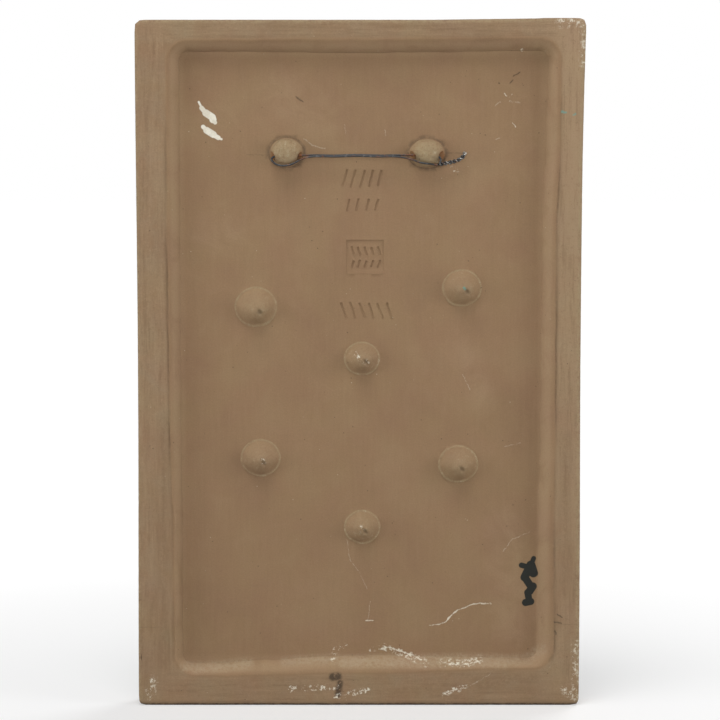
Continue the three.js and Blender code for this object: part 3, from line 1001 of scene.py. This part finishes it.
def curve_through(points, steps):
    """Points along a smooth curve that passes through the given ones, with centripetal spacing."""
    ends = [points[0] * 2 - points[1], *points, points[-1] * 2 - points[-2]]
    found = []
    for a, b, c, d in zip(ends, ends[1:], ends[2:], ends[3:]):
        t0 = 0.0
        t1 = t0 + (b - a).length ** 0.5
        t2 = t1 + (c - b).length ** 0.5
        t3 = t2 + (d - c).length ** 0.5
        for i in range(steps):
            t = t1 + (t2 - t1) * i / steps
            ab = a.lerp(b, (t - t0) / (t1 - t0))
            bc = b.lerp(c, (t - t1) / (t2 - t1))
            cd = c.lerp(d, (t - t2) / (t3 - t2))
            abc = ab.lerp(bc, (t - t0) / (t2 - t0))
            bcd = bc.lerp(cd, (t - t1) / (t3 - t1))
            found.append(abc.lerp(bcd, (t - t1) / (t2 - t1)))
    found.append(points[-1])
    return found


def even_walk(points, count):
    """Places and directions at even distances along a line of points."""
    lengths = [0.0]
    for a, b in zip(points, points[1:]):
        lengths.append(lengths[-1] + (b - a).length)
    places = []
    index = 0
    for i in range(count + 1):
        goal = lengths[-1] * i / count
        while index < len(points) - 2 and lengths[index + 1] < goal:
            index += 1
        share = (goal - lengths[index]) / (lengths[index + 1] - lengths[index])
        along = (points[index + 1] - points[index]).normalized()
        places.append((points[index].lerp(points[index + 1], share), along))
    return places


def tail_strand(start):
    """One strand of the tail, winding round its middle line."""
    count = round(TWIST_TURNS * TWIST_POINTS)
    middle = curve_through([Vector(point) for point in TAIL], 24)
    strand = []
    for i, (place, along) in enumerate(even_walk(middle, count)):
        turn = start + i / TWIST_POINTS * 2 * math.pi
        across = Vector((0, 0, 1)).cross(along).normalized()
        out = along.cross(across)
        strand.append(place + TWIST_RADIUS * (math.cos(turn) * across + math.sin(turn) * out))
    return strand


def span_strand(side):
    """One strand of the span between the lugs, not quite straight."""
    return [
        Vector((x, 0.18 * math.cos(x / 4.5) - 0.18 + side * PAIR_GAP[0], -side * PAIR_GAP[1])) for x in SPAN_X
    ]


def wire_route():
    """The wire's middle line from one cut end to the other."""
    points = tail_strand(math.pi / 2)[::-1]
    points += [Vector(point) for point in THROUGH_RIGHT_LUG]
    points += span_strand(1)[::-1]
    points += [Vector(point) for point in THROUGH_LEFT_LUG]
    points += span_strand(-1)
    points += [Vector(point) for point in UNDER_RIGHT_LUG]
    points += tail_strand(-math.pi / 2)
    return curve_through(points, WIRE_STEPS)


def wire_mesh(radius):
    """A round wire with flat cut ends, made by drawing a disc's border along the route."""
    route = wire_route()
    bm = bmesh.new()
    along = (route[1] - route[0]).normalized()
    made = bmesh.ops.create_circle(bm, cap_ends=True, segments=WIRE_SIDES, radius=radius)["verts"]
    start = Matrix.Translation(route[0]) @ along.to_track_quat("Z", "Y").to_matrix().to_4x4()
    bmesh.ops.transform(bm, matrix=start, verts=made)
    border = [edge for edge in bm.edges if edge.is_boundary]
    for i in range(1, len(route)):
        ahead = route[min(i + 1, len(route) - 1)] - route[i - 1]
        turn = along.rotation_difference(ahead.normalized())
        grown = bmesh.ops.extrude_edge_only(bm, edges=border)["geom"]
        ring = [item for item in grown if isinstance(item, bmesh.types.BMVert)]
        bmesh.ops.translate(bm, vec=route[i] - route[i - 1], verts=ring)
        bmesh.ops.rotate(bm, cent=route[i], matrix=turn.to_matrix(), verts=ring)
        along = ahead.normalized()
        border = [item for item in grown if isinstance(item, bmesh.types.BMEdge) and item.is_boundary]
    bmesh.ops.contextual_create(bm, geom=border)
    bmesh.ops.recalc_face_normals(bm, faces=bm.faces)
    return bm


# ---------------------------------------------------------------- materials

def add(tree, kind, inputs=None, output=0, **settings):
    """Adds a node with its settings, fills its inputs with values or links, and returns an output."""
    node = tree.nodes.new(kind)
    for name, value in settings.items():
        setattr(node, name, value)
    for key, value in (inputs or {}).items():
        if isinstance(value, bpy.types.NodeSocket):
            tree.links.new(value, node.inputs[key])
        else:
            node.inputs[key].default_value = value
    return node.outputs[output]


def new_material(name):
    """A material with its tree emptied down to the output."""
    material = bpy.data.materials.new(name)
    material.use_nodes = True
    tree = material.node_tree
    tree.nodes.clear()
    return material, tree


def back_coordinates(tree):
    """Object coordinates turned into the plane of the back, in millimetres."""
    place = add(tree, "ShaderNodeTexCoord", output="Object")
    return add(tree, "ShaderNodeMapping", {
        "Vector": place, "Rotation": (-math.pi / 2, 0, 0), "Scale": (1 / MM, 1 / MM, 1 / MM),
    })


def stroke_group():
    """A node group that gives how far a point lies past the edge of a straight stroke, in millimetres."""
    group = bpy.data.node_groups.get("past_stroke")
    if group:
        return group
    group = bpy.data.node_groups.new("past_stroke", "ShaderNodeTree")
    for name in ("Point", "Start", "Along", "Share"):
        group.interface.new_socket(name, in_out="INPUT", socket_type="NodeSocketVector")
    group.interface.new_socket("Half width", in_out="INPUT", socket_type="NodeSocketFloat")
    group.interface.new_socket("Past", in_out="OUTPUT", socket_type="NodeSocketFloat")
    source = group.nodes.new("NodeGroupInput").outputs
    from_start = vector_calc(group, "SUBTRACT", source["Point"], source["Start"])
    share = vector_calc(group, "DOT_PRODUCT", from_start, source["Share"], output="Value")
    share = add(group, "ShaderNodeClamp", {"Value": share})
    nearest = add(group, "ShaderNodeVectorMath", {0: source["Along"], "Scale": share}, operation="SCALE")
    away = vector_calc(group, "DISTANCE", from_start, nearest, output="Value")
    past = calc(group, "SUBTRACT", away, source["Half width"])
    target = group.nodes.new("NodeGroupOutput")
    group.links.new(past, target.inputs["Past"])
    return group


def marks_mask(tree, point, marks, softness):
    """1 inside the marks of one kind and 0 outside them, over a soft edge in millimetres."""
    nearest = None
    for half_width, *points in marks:
        for start, end in zip(points, points[1:]):
            start, along = Vector((*start, 0)), Vector((*end, 0)) - Vector((*start, 0))
            past = add(tree, "ShaderNodeGroup", node_tree=stroke_group(), inputs={
                "Point": point, "Start": start, "Along": along, "Share": along / along.length_squared,
                "Half width": half_width,
            })
            nearest = past if nearest is None else calc(tree, "MINIMUM", nearest, past)
    return add(tree, "ShaderNodeMapRange", {
        "Value": nearest, "From Min": softness, "From Max": -softness / 3, "To Min": 0.0, "To Max": 1.0,
    })


def threshold(tree, value, low, high):
    """0 below low and 1 above high."""
    return add(tree, "ShaderNodeMapRange", {"Value": value, "From Min": low, "From Max": high})


def spread(tree, value, low, high):
    """Stretches what a noise gives, about 0.3 to 0.7, to a range from low to high."""
    return add(tree, "ShaderNodeMapRange", {
        "Value": value, "From Min": 0.3, "From Max": 0.7, "To Min": low, "To Max": high,
    })


def calc(tree, operation, *values):
    """A sum, product or the like of values."""
    return add(tree, "ShaderNodeMath", dict(enumerate(values)), operation=operation)


def vector_calc(tree, operation, *values, output=0):
    """The same for vectors."""
    return add(tree, "ShaderNodeVectorMath", dict(enumerate(values)), output, operation=operation)


def noise_map(tree, place, scale, detail, **inputs):
    """Cloudy noise; its scale is 1 over the size of its clouds in millimetres."""
    return add(tree, "ShaderNodeTexNoise", {"Vector": place, "Scale": scale, "Detail": detail, **inputs})


def times(tree, *values):
    """The product of masks and numbers. A mask may be three values: what it rests on, its 0 and its 1."""
    product = None
    for value in values:
        if isinstance(value, tuple):
            value = threshold(tree, *value)
        product = value if product is None else calc(tree, "MULTIPLY", product, value)
    return product


def tinted(tree, ground, layers):
    """A colour with layers of other colours over it, each a colour and the masks that say where it shows."""
    shade = tuple(ground)
    for colour, *masks in layers:
        mask = times(tree, *masks)
        shade = add(tree, "ShaderNodeMix", {0: mask, 6: shade, 7: tuple(colour)}, 2, data_type="RGBA")
    return shade


def add_surface(tree, surface):
    """Links a shader to the material's output."""
    output = tree.nodes.new("ShaderNodeOutputMaterial")
    tree.links.new(surface, output.inputs["Surface"])


def finish_material(tree, shade, roughness, height, strength, relief, shine):
    """Shades a surface, bumped by a height map whose relief is in millimetres."""
    normal = add(tree, "ShaderNodeBump", {"Height": height, "Strength": strength, "Distance": relief * MM})
    add_surface(tree, add(tree, "ShaderNodeBsdfPrincipled", {
        "Base Color": shade, "Roughness": roughness, "Normal": normal, **shine,
    }))


def clay_material(colours):
    """Stoneware clay, rolled into a slab, wiped smooth by hand and fired bare.

    It is matt brown, cloudy where it was wiped and drawn along its rim by the board, with pores, rubbed
    edges, and old marks and scratches. It has painted shade towards the foot and in hollows, creases
    and seams, and painted highlights on the recess walls, the bosses' lips and a few of their tips.
    """
    material, tree = new_material("bare_fired_stoneware")
    place = back_coordinates(tree)
    split = tree.nodes.new("ShaderNodeSeparateXYZ")
    tree.links.new(place, split.inputs[0])
    x, y, z = split.outputs
    fuzz = add(tree, "ShaderNodeTexNoise", {"Vector": place, "Scale": 0.55, "Detail": 4.0}, "Color")
    shake = vector_calc(tree, "SUBTRACT", fuzz, (0.5, 0.5, 0.5))
    shaken = vector_calc(tree, "MULTIPLY_ADD", shake, (1.6, 1.6, 0.0), place)
    flat = vector_calc(tree, "MULTIPLY", shaken, (1, 1, 0))
    steady = vector_calc(tree, "MULTIPLY", place, (1, 1, 0))
    on_back = threshold(tree, z, FIELD_Z - 4.0, FIELD_Z - 2.0)

    # Whether a point is nearer to the long sides than to the head or foot
    past = []
    for axis, middle, half in ((x, FIELD_CENTRE.x, FIELD_HALF.x), (y, FIELD_CENTRE.y, FIELD_HALF.y)):
        size = calc(tree, "ABSOLUTE", calc(tree, "SUBTRACT", axis, middle))
        past.append(calc(tree, "SUBTRACT", size, half + CREST))
    on_side = threshold(tree, calc(tree, "SUBTRACT", *past), -3.0, 3.0)

    # Wiping leaves clouds about 45 mm across; the board draws lines about 2 mm wide; grit is about 0.8 mm.
    clouds = noise_map(tree, place, 1 / 45, 5.0, Roughness=0.55)
    smears = noise_map(tree, place, 1 / 16, 7.0, Roughness=0.62, Distortion=0.8)
    lines = []
    for stretch in ((1 / 2.0, 1 / 26, 1 / 6), (1 / 26, 1 / 2.0, 1 / 6)):
        stretched = add(tree, "ShaderNodeMapping", {"Vector": place, "Scale": stretch})
        lines.append(noise_map(tree, stretched, 1.0, 6.0, Roughness=0.65))
    upright = lines[0]
    drawn = add(tree, "ShaderNodeMix", {0: on_side, 2: lines[1], 3: upright}, data_type="FLOAT")
    grit = noise_map(tree, place, 1 / 0.8, 2.0)
    crumbs = noise_map(tree, place, 1 / 2.1, 6.0, Roughness=0.75)
    hue = noise_map(tree, place, 1 / 22, 3.0)

    # Pores and pale flecks lie in cells of 5 and about 3 mm, and only in patches.
    spots = []
    for cell, rim, core, patch, detail, none, full in (
        (5, 0.08, 0.035, 19, 1.0, 0.52, 0.6),
        (3.1, 0.12, 0.05, 11, 2.0, 0.64, 0.7),
    ):
        cells = add(tree, "ShaderNodeTexVoronoi", {"Vector": place, "Scale": 1 / cell, "Randomness": 1.0})
        patches = noise_map(tree, place, 1 / patch, detail)
        spots.append(times(tree, (cells, rim, core), (patches, none, full)))
    pores, flecks = spots

    pale, rusty, painted_shade, worn, rubbed, on_rim = [
        add(tree, "ShaderNodeAttribute", attribute_name=name, output="Fac")
        for name in WEAR
    ]
    ragged = threshold(tree, crumbs, 0.53, 0.58)
    worn_through = threshold(tree, crumbs, 0.4, 0.52)

    def back_marks(marks, softness, strength, *masks):
        return times(tree, marks_mask(tree, flat, marks, softness), on_back, *masks, strength)

    def paint(marks):
        return times(tree, marks_mask(tree, steady, marks, 0.25), on_back)

    white_paint = paint(WHITE_PAINT)
    black_paint = paint(BLACK_PAINT)
    white_scratches = back_marks(WHITE_SCRATCHES, 0.3, 0.85, worn_through)
    flakes_and_glints = back_marks(FLAKES_AND_TIP_GLINTS, 0.8, 0.9, ragged)
    light, dark, pale_clay = colours.clay_light_and_highlight, colours.clay_dark_and_shade, colours.clay_pale
    chalk_and_glint, pit, pale_dust_and_highlight = colours.chalk_and_glint, colours.pit, colours.pale_dust_and_highlight
    shade = tinted(tree, colours.clay, (
        (light, (clouds, 0.5, 0.72), 0.22),
        (dark, (clouds, 0.5, 0.3), 0.22),
        (light, (smears, 0.5, 0.75), 0.22),
        (dark, (smears, 0.48, 0.25), 0.2),
        (light, (upright, 0.52, 0.75), 0.14),
        (dark, (upright, 0.48, 0.28), 0.16),
        (colours.dust, on_rim, (smears, 0.3, 0.7), 0.45),
        (light, (drawn, 0.52, 0.72), on_rim, 0.45),
        # Lighter over the right side of the rim
        (light, on_rim, (x, 100.0, 122.0), (y, -330.0, 60.0), 0.75),
        (dark, (drawn, 0.48, 0.3), on_rim, 0.65),
        (light, (crumbs, 0.53, 0.62), on_rim, 0.3),
        (dark, (crumbs, 0.44, 0.36), on_rim, 0.35),
        # Painted shade: darker towards the foot, as under light from above
        (dark, (y, -60.0, FOOT), 0.2),
        (dark, back_marks(DARK_CLOUDS, 7.0, 0.25, (smears, 0.3, 0.55))),
        (light, back_marks(LIGHT_CLOUDS, 7.0, 0.3, (smears, 0.35, 0.6))),
        # Painted highlight on the recess walls, for the side light they catch, over rubbed clay
        (light, rubbed, (smears, 0.2, 0.5), 0.6),
        # Pale bloom and painted highlight along the foot's wall
        (pale_dust_and_highlight, back_marks(FOOT_WALL_BLOOM_AND_HIGHLIGHT, 2.4, 0.4, (crumbs, 0.36, 0.62))),
        (pale_clay, pale, (crumbs, 0.2, 0.6)),
        (chalk_and_glint, pale, (crumbs, 0.55, 0.66), (smears, 0.48, 0.6), 0.4),
        (dark, pale, (crumbs, 0.44, 0.36), 0.55),
        (pale_clay, worn, (crumbs, 0.42, 0.56), 0.75),
        (dark, back_marks(GREY_SMUDGES, 3.5, 0.6, (crumbs, 0.42, 0.58))),
        (pit, back_marks(DARK_STAINS, 1.2, 0.85, (crumbs, 0.36, 0.46))),
        (chalk_and_glint, back_marks(CHALKY_WEAR, 2.4, 0.7, ragged)),
        (chalk_and_glint, back_marks(FAINT_SCRATCHES, 0.25, 0.24, worn_through)),
        (pit, back_marks(DRAGGED_LINES, 0.3, 0.25, worn_through)),
        (pit, back_marks(DARK_SCRATCHES, 0.3, 0.65)),
        # Painted shade in the bores, creases, dents, seams and along the foot's edge
        (pit, painted_shade, (crumbs, 0.3, 0.55)),
        # Flaked chips, and painted glints on the bosses' tips
        (chalk_and_glint, flakes_and_glints),
        (chalk_and_glint, white_scratches),
        (pit, pores, 0.75),
        (chalk_and_glint, flecks, 0.4),
        (colours.rust, rusty, (crumbs, 0.36, 0.52), 0.8),
        (colours.turquoise, back_marks(TURQUOISE_SPECKS, 0.5, 0.7, (crumbs, 0.4, 0.5))),
        (colours.black_paint, black_paint, (crumbs, 0.2, 0.32)),
        (colours.white_paint, white_paint),
        (pale_dust_and_highlight, white_paint, (smears, 0.5, 0.56), 0.3),
    ))
    shade = add(tree, "ShaderNodeHueSaturation", {
        "Color": shade, "Hue": spread(tree, hue, 0.496, 0.504), "Value": spread(tree, grit, 0.955, 1.045),
    })

    roughness = spread(tree, smears, 0.7, 0.88)
    roughness = add(tree, "ShaderNodeMix", {0: black_paint, 2: roughness, 3: 0.42}, data_type="FLOAT")
    height = times(tree, grit, 0.25)
    for mask, amount in (
        (times(tree, drawn, on_rim), 0.7), (smears, 0.9), (crumbs, 0.3),
        (pores, -0.9), (white_scratches, -0.5), (flakes_and_glints, -0.5), (white_paint, 0.25), (black_paint, 0.15),
    ):
        height = calc(tree, "MULTIPLY_ADD", mask, amount, height)
    finish_material(tree, shade, roughness, height, 0.35, 0.35, {"IOR": 1.5, "Specular IOR Level": 0.25})
    return material


def glaze_material(colours):
    """A matt stoneware glaze, brushed on: deep and green where it pooled, thin and brown over the edges."""
    material, tree = new_material("brushed_matt_glaze")
    place = back_coordinates(tree)
    split = tree.nodes.new("ShaderNodeSeparateXYZ")
    tree.links.new(place, split.inputs[0])
    pooled = threshold(tree, split.outputs["Z"], FRONT_Z + 0.3, FRONT_Z + CHANNEL_DEPTH)
    # Brush strokes about 7 mm wide run across the panel; the glaze's mottling is about 2 mm.
    stretched = add(tree, "ShaderNodeMapping", {"Vector": place, "Scale": (1 / 90, 1 / 7, 1 / 20)})
    strokes = noise_map(tree, stretched, 1.0, 4.0)
    mottle = noise_map(tree, place, 1 / 2, 4.0)
    thin = calc(tree, "ADD", strokes, noise_map(tree, place, 1 / 38, 3.0))
    shade = tinted(tree, colours.glaze, (
        (colours.glaze_thin, (thin, 0.98, 1.2), 0.75),
        (colours.glaze_thin, (mottle, 0.5, 0.72), 0.3),
        (colours.turquoise, pooled, 0.5),
        (colours.clay_dark_and_shade, (mottle, 0.42, 0.28), 0.35),
    ))
    height = calc(tree, "MULTIPLY_ADD", strokes, 0.8, times(tree, mottle, 0.3))
    finish_material(tree, shade, spread(tree, mottle, 0.38, 0.55), height, 0.3, 0.3, {"IOR": 1.52})
    return material


def wire_material(colours):
    """Soft steel wire, drawn and oxidised.

    It is dark and dull, brighter where it was rubbed and cut, with painted glints on the tail's twisted
    strands, and rusty where it runs through the clay.
    """
    material, tree = new_material("oxidised_drawn_steel")
    place = back_coordinates(tree)
    patches = noise_map(tree, place, 1 / 2.4, 4.0)
    scale = noise_map(tree, place, 1 / 0.3, 2.0)
    glints = noise_map(tree, place, 1 / 0.8, 2.0)
    in_left, in_right, tail = [
        vector_calc(tree, "DISTANCE", place, spot, output="Value")
        for spot in ((-31.0, 0.4, -0.6), (31.0, 0.4, -0.6), TAIL[-1])
    ]
    damp = calc(tree, "MINIMUM", in_left, in_right)
    bright = colours.steel_bright_and_glint
    shade = tinted(tree, colours.steel, (
        (bright, (patches, 0.56, 0.74), 0.3),
        # Painted glints on the tail's twisted strands
        (bright, (tail, 15.0, 12.0), (glints, 0.52, 0.58), 0.75),
        (colours.rust, (damp, 5.0, 1.5), (patches, 0.4, 0.55), 0.6),
        (colours.rust, (patches, 0.42, 0.34), 0.3),
        (bright, (tail, 1.6, 0.9), 0.8),
    ))
    finish_material(tree, shade, spread(tree, patches, 0.34, 0.55), scale, 0.25, 0.05, {"Metallic": 0.8})
    return material


def floor_material(colours):
    """A pale studio floor that fades into the white backdrop away from the plaque."""
    material, tree = new_material("pale_studio_floor")
    place = add(tree, "ShaderNodeTexCoord", output="Object")
    away = vector_calc(tree, "LENGTH", place, output="Value")
    seen = add(tree, "ShaderNodeLightPath", output="Is Camera Ray")
    far = times(tree, (away, *FLOOR_FADE), seen)
    near_floor = add(tree, "ShaderNodeBsdfPrincipled", {
        "Base Color": tuple(colours.floor), "Roughness": 0.8, "Emission Color": WHITE,
        "Emission Strength": times(tree, seen, FLOOR_GLOW), "Specular IOR Level": 0.1,
    }, "BSDF")
    backdrop = add(tree, "ShaderNodeEmission", {"Color": WHITE, "Strength": BACKDROP_GLOW})
    add_surface(tree, add(tree, "ShaderNodeMixShader", {0: far, 1: near_floor, 2: backdrop}))
    return material


def aimed(thing, place, aim):
    """Puts a lamp or the camera at a place, turned towards its aim."""
    thing.location = place
    thing.rotation_mode = "QUATERNION"
    thing.rotation_quaternion = (aim - thing.location).to_track_quat("-Z", "Y")
    bpy.context.scene.collection.objects.link(thing)


# ---------------------------------------------------------------- operators

class PLAQUE_OT_clay(bpy.types.Operator):
    """Builds the clay body with its rim, recess, bosses, lugs, pressed marks and chips"""
    bl_idname = "plaque.clay"
    bl_label = "Clay body"

    def execute(self, context):
        sizes = context.scene.plaque_sizes
        colours = context.scene.plaque_colours
        body = clay_object(sizes, [clay_material(colours), glaze_material(colours)])
        bm = bmesh.new()
        bm.from_mesh(body.data)
        hand_worked(bm, sizes)
        bm.to_mesh(body.data)
        bm.free()
        note_wear(body.data)
        finish_piece(body, "plaque_clay", "plaque")
        return {"FINISHED"}


class PLAQUE_OT_wire(bpy.types.Operator):
    """Builds the hanging wire, doubled between the lugs and twisted into a tail"""
    bl_idname = "plaque.wire"
    bl_label = "Hanging wire"

    def execute(self, context):
        thickness = context.scene.plaque_sizes.wire_diameter / MM
        wire = temporary("wire", wire_mesh(thickness / 2), [wire_material(context.scene.plaque_colours)])
        finish_piece(wire, "wire_steel", "hanging_wire")
        return {"FINISHED"}


class PLAQUE_OT_stage(bpy.types.Operator):
    """Sets the pale floor, the soft lights and the camera"""
    bl_idname = "plaque.stage"
    bl_label = "Stage"

    def execute(self, context):
        bm = bmesh.new()
        bmesh.ops.create_circle(bm, cap_ends=True, segments=96, radius=FLOOR_RADIUS)
        bmesh.ops.translate(bm, vec=(0, 0, LOW.z), verts=bm.verts)
        floor = temporary("floor", bm, [floor_material(context.scene.plaque_colours)])

        world = bpy.data.worlds.new("studio")
        context.scene.world = world
        world.use_nodes = True
        tree = world.node_tree
        tree.nodes.clear()
        seen = add(tree, "ShaderNodeLightPath", output="Is Camera Ray")
        soft = add(tree, "ShaderNodeBackground", {"Color": WHITE, "Strength": SOFT_SKY})
        white = add(tree, "ShaderNodeBackground", {"Color": WHITE, "Strength": 1.0})
        sky = add(tree, "ShaderNodeMixShader", {0: seen, 1: soft, 2: white})
        output = tree.nodes.new("ShaderNodeOutputWorld")
        tree.links.new(sky, output.inputs["Surface"])

        middle = Vector((CENTRE_X * MM, 0.0, (HEAD + FOOT) / 2 * MM))
        for name, place, size, watts in LAMPS:
            light = bpy.data.lights.new(name, "AREA")
            light.shape = "DISK"
            light.size = size
            light.energy = watts
            aimed(bpy.data.objects.new(name, light), middle + Vector(place), middle)

        camera = bpy.data.objects.new("camera", bpy.data.cameras.new("camera"))
        camera.data.sensor_width = SENSOR_WIDTH
        camera.data.lens = LENS
        aim = Vector(CAMERA_AIM) * MM
        away = Vector((0, -math.cos(CAMERA_TILT), math.sin(CAMERA_TILT)))
        aimed(camera, aim + CAMERA_DISTANCE * away, aim)
        context.scene.camera = camera
        context.scene.view_settings.view_transform = "Standard"
        return {"FINISHED"}


class PLAQUE_PT_panel(bpy.types.Panel):
    """Lists the pieces and their sizes and colours"""
    bl_label = "Stoneware plaque"
    bl_idname = "PLAQUE_PT_panel"
    bl_space_type = "VIEW_3D"
    bl_region_type = "UI"
    bl_category = "Plaque"

    def draw(self, context):
        for operator in (PLAQUE_OT_clay, PLAQUE_OT_wire, PLAQUE_OT_stage):
            self.layout.operator(operator.bl_idname)
        for group in (context.scene.plaque_sizes, context.scene.plaque_colours):
            box = self.layout.box()
            for name in group.__annotations__:
                box.prop(group, name)


CLASSES = (PlaqueSizes, PlaqueColours, PLAQUE_OT_clay, PLAQUE_OT_wire, PLAQUE_OT_stage, PLAQUE_PT_panel)


def register():
    for cls in CLASSES:
        bpy.utils.register_class(cls)
    bpy.types.Scene.plaque_sizes = bpy.props.PointerProperty(type=PlaqueSizes)
    bpy.types.Scene.plaque_colours = bpy.props.PointerProperty(type=PlaqueColours)


def unregister():
    del bpy.types.Scene.plaque_colours
    del bpy.types.Scene.plaque_sizes
    for cls in reversed(CLASSES):
        bpy.utils.unregister_class(cls)


def main():
    """Registers the add-on and builds the stage, the clay body and the wire."""
    register()
    bpy.ops.plaque.stage()
    bpy.ops.plaque.clay()
    bpy.ops.plaque.wire()


if __name__ == "__main__":
    main()
